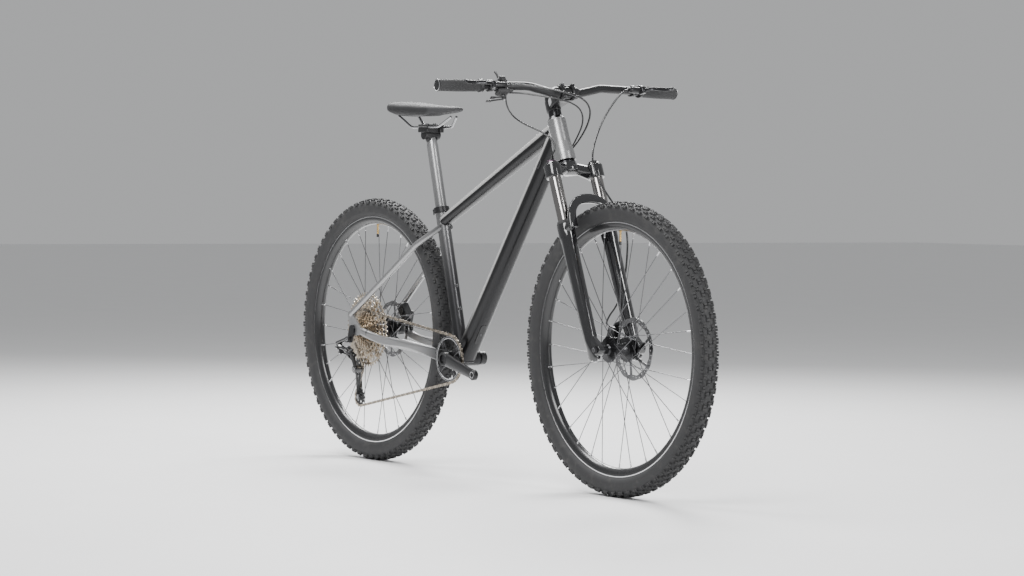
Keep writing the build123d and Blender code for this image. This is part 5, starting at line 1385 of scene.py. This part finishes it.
# ------------------------------------------------------------------ saddle
def seatpost():
    made = Piece("grey", "satin_black")
    foot = seat_top - seat_up * 110
    length = (cradle - foot).length
    rows = [8.0 * k for k in range(1, 40) if 8.0 * k < length - 30]
    made.lathe([(13.4, 0), (15.7, 0), (15.7, 1.2), *((15.7, row) for row in rows),
                (14.9, length - 24), (12.4, length - 10), (0.01, length - 8)],
               foot, seat_up, 48)
    made.hull(peg(cradle, LEFT, 24.6, 13.6, 26, 1.4), 1)
    made.hull([ball(cradle - seat_up * 22 + LEFT * y, 11) for y in (-2, 2)]
              + [ball(cradle + LEFT * y - seat_up * 2, 11.5) for y in (-11, 11)], 1)
    made.make("seatpost_shell", "post", "frame_paint", "seatpost")


def rails():
    """Bright rails with the black plates that clamp them."""
    x = cradle.x
    made = Piece("steel", "satin_black", "gloss_black")
    for side in (-1, 1):
        y = side * rail_y
        corners = [(x + 112, side * 9, rail_z + 27), (x + 84, side * 18, rail_z + 9),
                   (x + 70, side * 21.6, rail_z + 1.2), (x + 56, y, rail_z), (x, y, rail_z),
                   (x - 48, y, rail_z), (x - 66, side * 23.4, rail_z + 3.5),
                   (x - 90, side * 28, rail_z + 19), (x - 112, side * 33, rail_z + 33)]
        made.sweep(smooth_path(corners, 5), [(0, 3.45, 3.45), (1, 3.45, 3.45)], seg=16)
    for low, high, mark in ((922.5, 936.2, 1), (937.9, 944.8, 2)):
        for half, near, far in ((20, -27, -17), (20, 17, 27), (14, -24, 24)):
            made.hull([(px, y, z, 1.6) for px in (x - half, x + half) for y in (near, far)
                       for z in (low + 1.6, high - 1.6)], mark)
    made.make("saddle_rails_clamp", "seat", "rail_steel", "saddle_rails")


def saddle():
    """Padded cover over stations from nose to tail, with a shallow groove down its middle."""
    middle = -297.1
    stations = smooth_path([(134, 15, 0), (128, 19, 0), (112, 21.5, 0), (60, 26, 0),
                            (10, 38, 0), (-50, 62, 0), (-95, 71, 0), (-122, 66, 0),
                            (-133, 52, 0)], 5)
    heights = [(134, 47, 9), (128, 46.5, 14), (112, 46, 18), (60, 46, 24), (10, 46, 31),
               (-50, 49, 36), (-95, 51, 40), (-122, 54, 36), (-133, 56, 26)]

    def read(dx, column):
        for (x0, *a), (x1, *b) in zip(heights, heights[1:]):
            if dx >= x1:
                t = (x0 - dx) / (x0 - x1)
                t = t * t * (3 - 2 * t)
                return a[column] + (b[column] - a[column]) * t
        return heights[-1][1 + column]

    rings = []
    for s in stations:
        dx, half = s.x, s.y
        lift, deep = read(dx, 0), read(dx, 1)
        ring = []
        for t in turns(48):
            c, d = signed(cos(t), 2.7), signed(sin(t), 3.2)
            groove = 3.2 * exp(-(c * half / 9) ** 2) if d > 0 and -95 < dx < 70 else 0
            tuck = 1 if d > 0 else 1 - 0.12 * d * d
            ring.append((middle + dx, half * c * tuck,
                         rail_z + lift + deep / 2 * d - groove * max(0, d)))
        rings.append([Vector(p) for p in ring])
    ends = []
    for ring, shrink, push in ((rings[0], 0.7, 2.6), (rings[-1], 0.72, -2.6)):
        mid = sum(ring, Vector()) / len(ring)
        ends.append([mid + (p - mid) * shrink + Vector((push, 0, 0)) for p in ring])
    made = Piece("saddle").grid([ends[0], *rings, ends[1]], wrap=False, caps=True)
    piece = made.make("saddle_cover", "seat", "saddle_cover", "saddle", sharp=70)
    heads = [(Vector((middle + e * 18, 0, rail_z + 8)), (0, 0, 1), 4, 3) for e in (-1, 1)]
    hex_screws("saddle_clamp_screws", "seat", "rail_steel", heads)


# ------------------------------------------------------------------- stage
def studio():
    floor_mesh = bpy.data.meshes.new("floor")
    floor_mesh.from_pydata([(-30, -30, 0), (30, -30, 0), (30, 30, 0), (-30, 30, 0)], [],
                           [(0, 1, 2, 3)])
    made = Shader("floor_pale")
    grain = made.noise(3.0, 5.0)
    made.link(made.mix(grain, (0.8, 0.8, 0.805), (0.84, 0.84, 0.84)), "Base Color")
    made.bsdf.inputs["Roughness"].default_value = 0.55
    floor_mesh.materials.append(made.mat)
    floor = place_object("floor", floor_mesh)
    world = bpy.data.worlds.new("studio")
    bpy.context.scene.world = world
    world.use_nodes = True
    back = world.node_tree.nodes["Background"]
    back.inputs["Color"].default_value = (0.9, 0.91, 0.92, 1)
    back.inputs["Strength"].default_value = 0.5
    for name, place, aim, size, power in (
            ("key", (1.9, -2.7, 3.4), (0, 0, 0.5), (1.8, 2.0), 150),
            ("strip", (3.4, 0.9, 1.6), (0.3, 0, 0.6), (0.5, 2.6), 80),
            ("top", (-1.5, -0.4, 3.6), (-0.1, 0, 0.6), (2.6, 1.4), 210),
            ("rim", (-2.4, 1.9, 2.9), (-0.1, 0, 0.6), (2.2, 1.0), 190)):
        data = bpy.data.lights.new(name, "AREA")
        data.shape = "RECTANGLE"
        data.size, data.size_y = size
        data.energy = power
        lamp = bpy.data.objects.new(name, data)
        lamp.location = place
        way = Vector(aim) - Vector(place)
        lamp.rotation_euler = way.to_track_quat("-Z", "Y").to_euler()
        bpy.context.scene.collection.objects.link(lamp)


def wheels():
    """Both wheels: hub width and bore, then where rotor and flanges sit across the hub."""
    rows = (("front", front_axle, 110, 7.55, 45, 24, -32),
            ("rear", rear_axle, 148, 6.05, 54, 33, -20))
    for end, centre, width, bore, rotor_y, left_y, right_y in rows:
        tyre(end, centre)
        rim(end, centre)
        spokes(end, centre, left_y, right_y)
        hub(end, centre, width, bore, left_y, right_y, rotor_y)
        rotor(end, centre, rotor_y)


make_camera()
M = make_materials()
hoses()
studio()
carried_over()
main_tubes()
port_and_cover()
frame_trim()
wheels()
rollers, phases = chain_rollers()
chain(rollers)
cassette(phases[stops_in[3][0]])
chainring(phases[stops_in[0][0]])
crank()
derailleur()
pulley("guide_pulley", guide, phases[guide])
pulley("tension_pulley", tension, phases[tension])
fork()
grips()
stem()
brake_levers()
controls()
seatpost()
rails()
saddle()
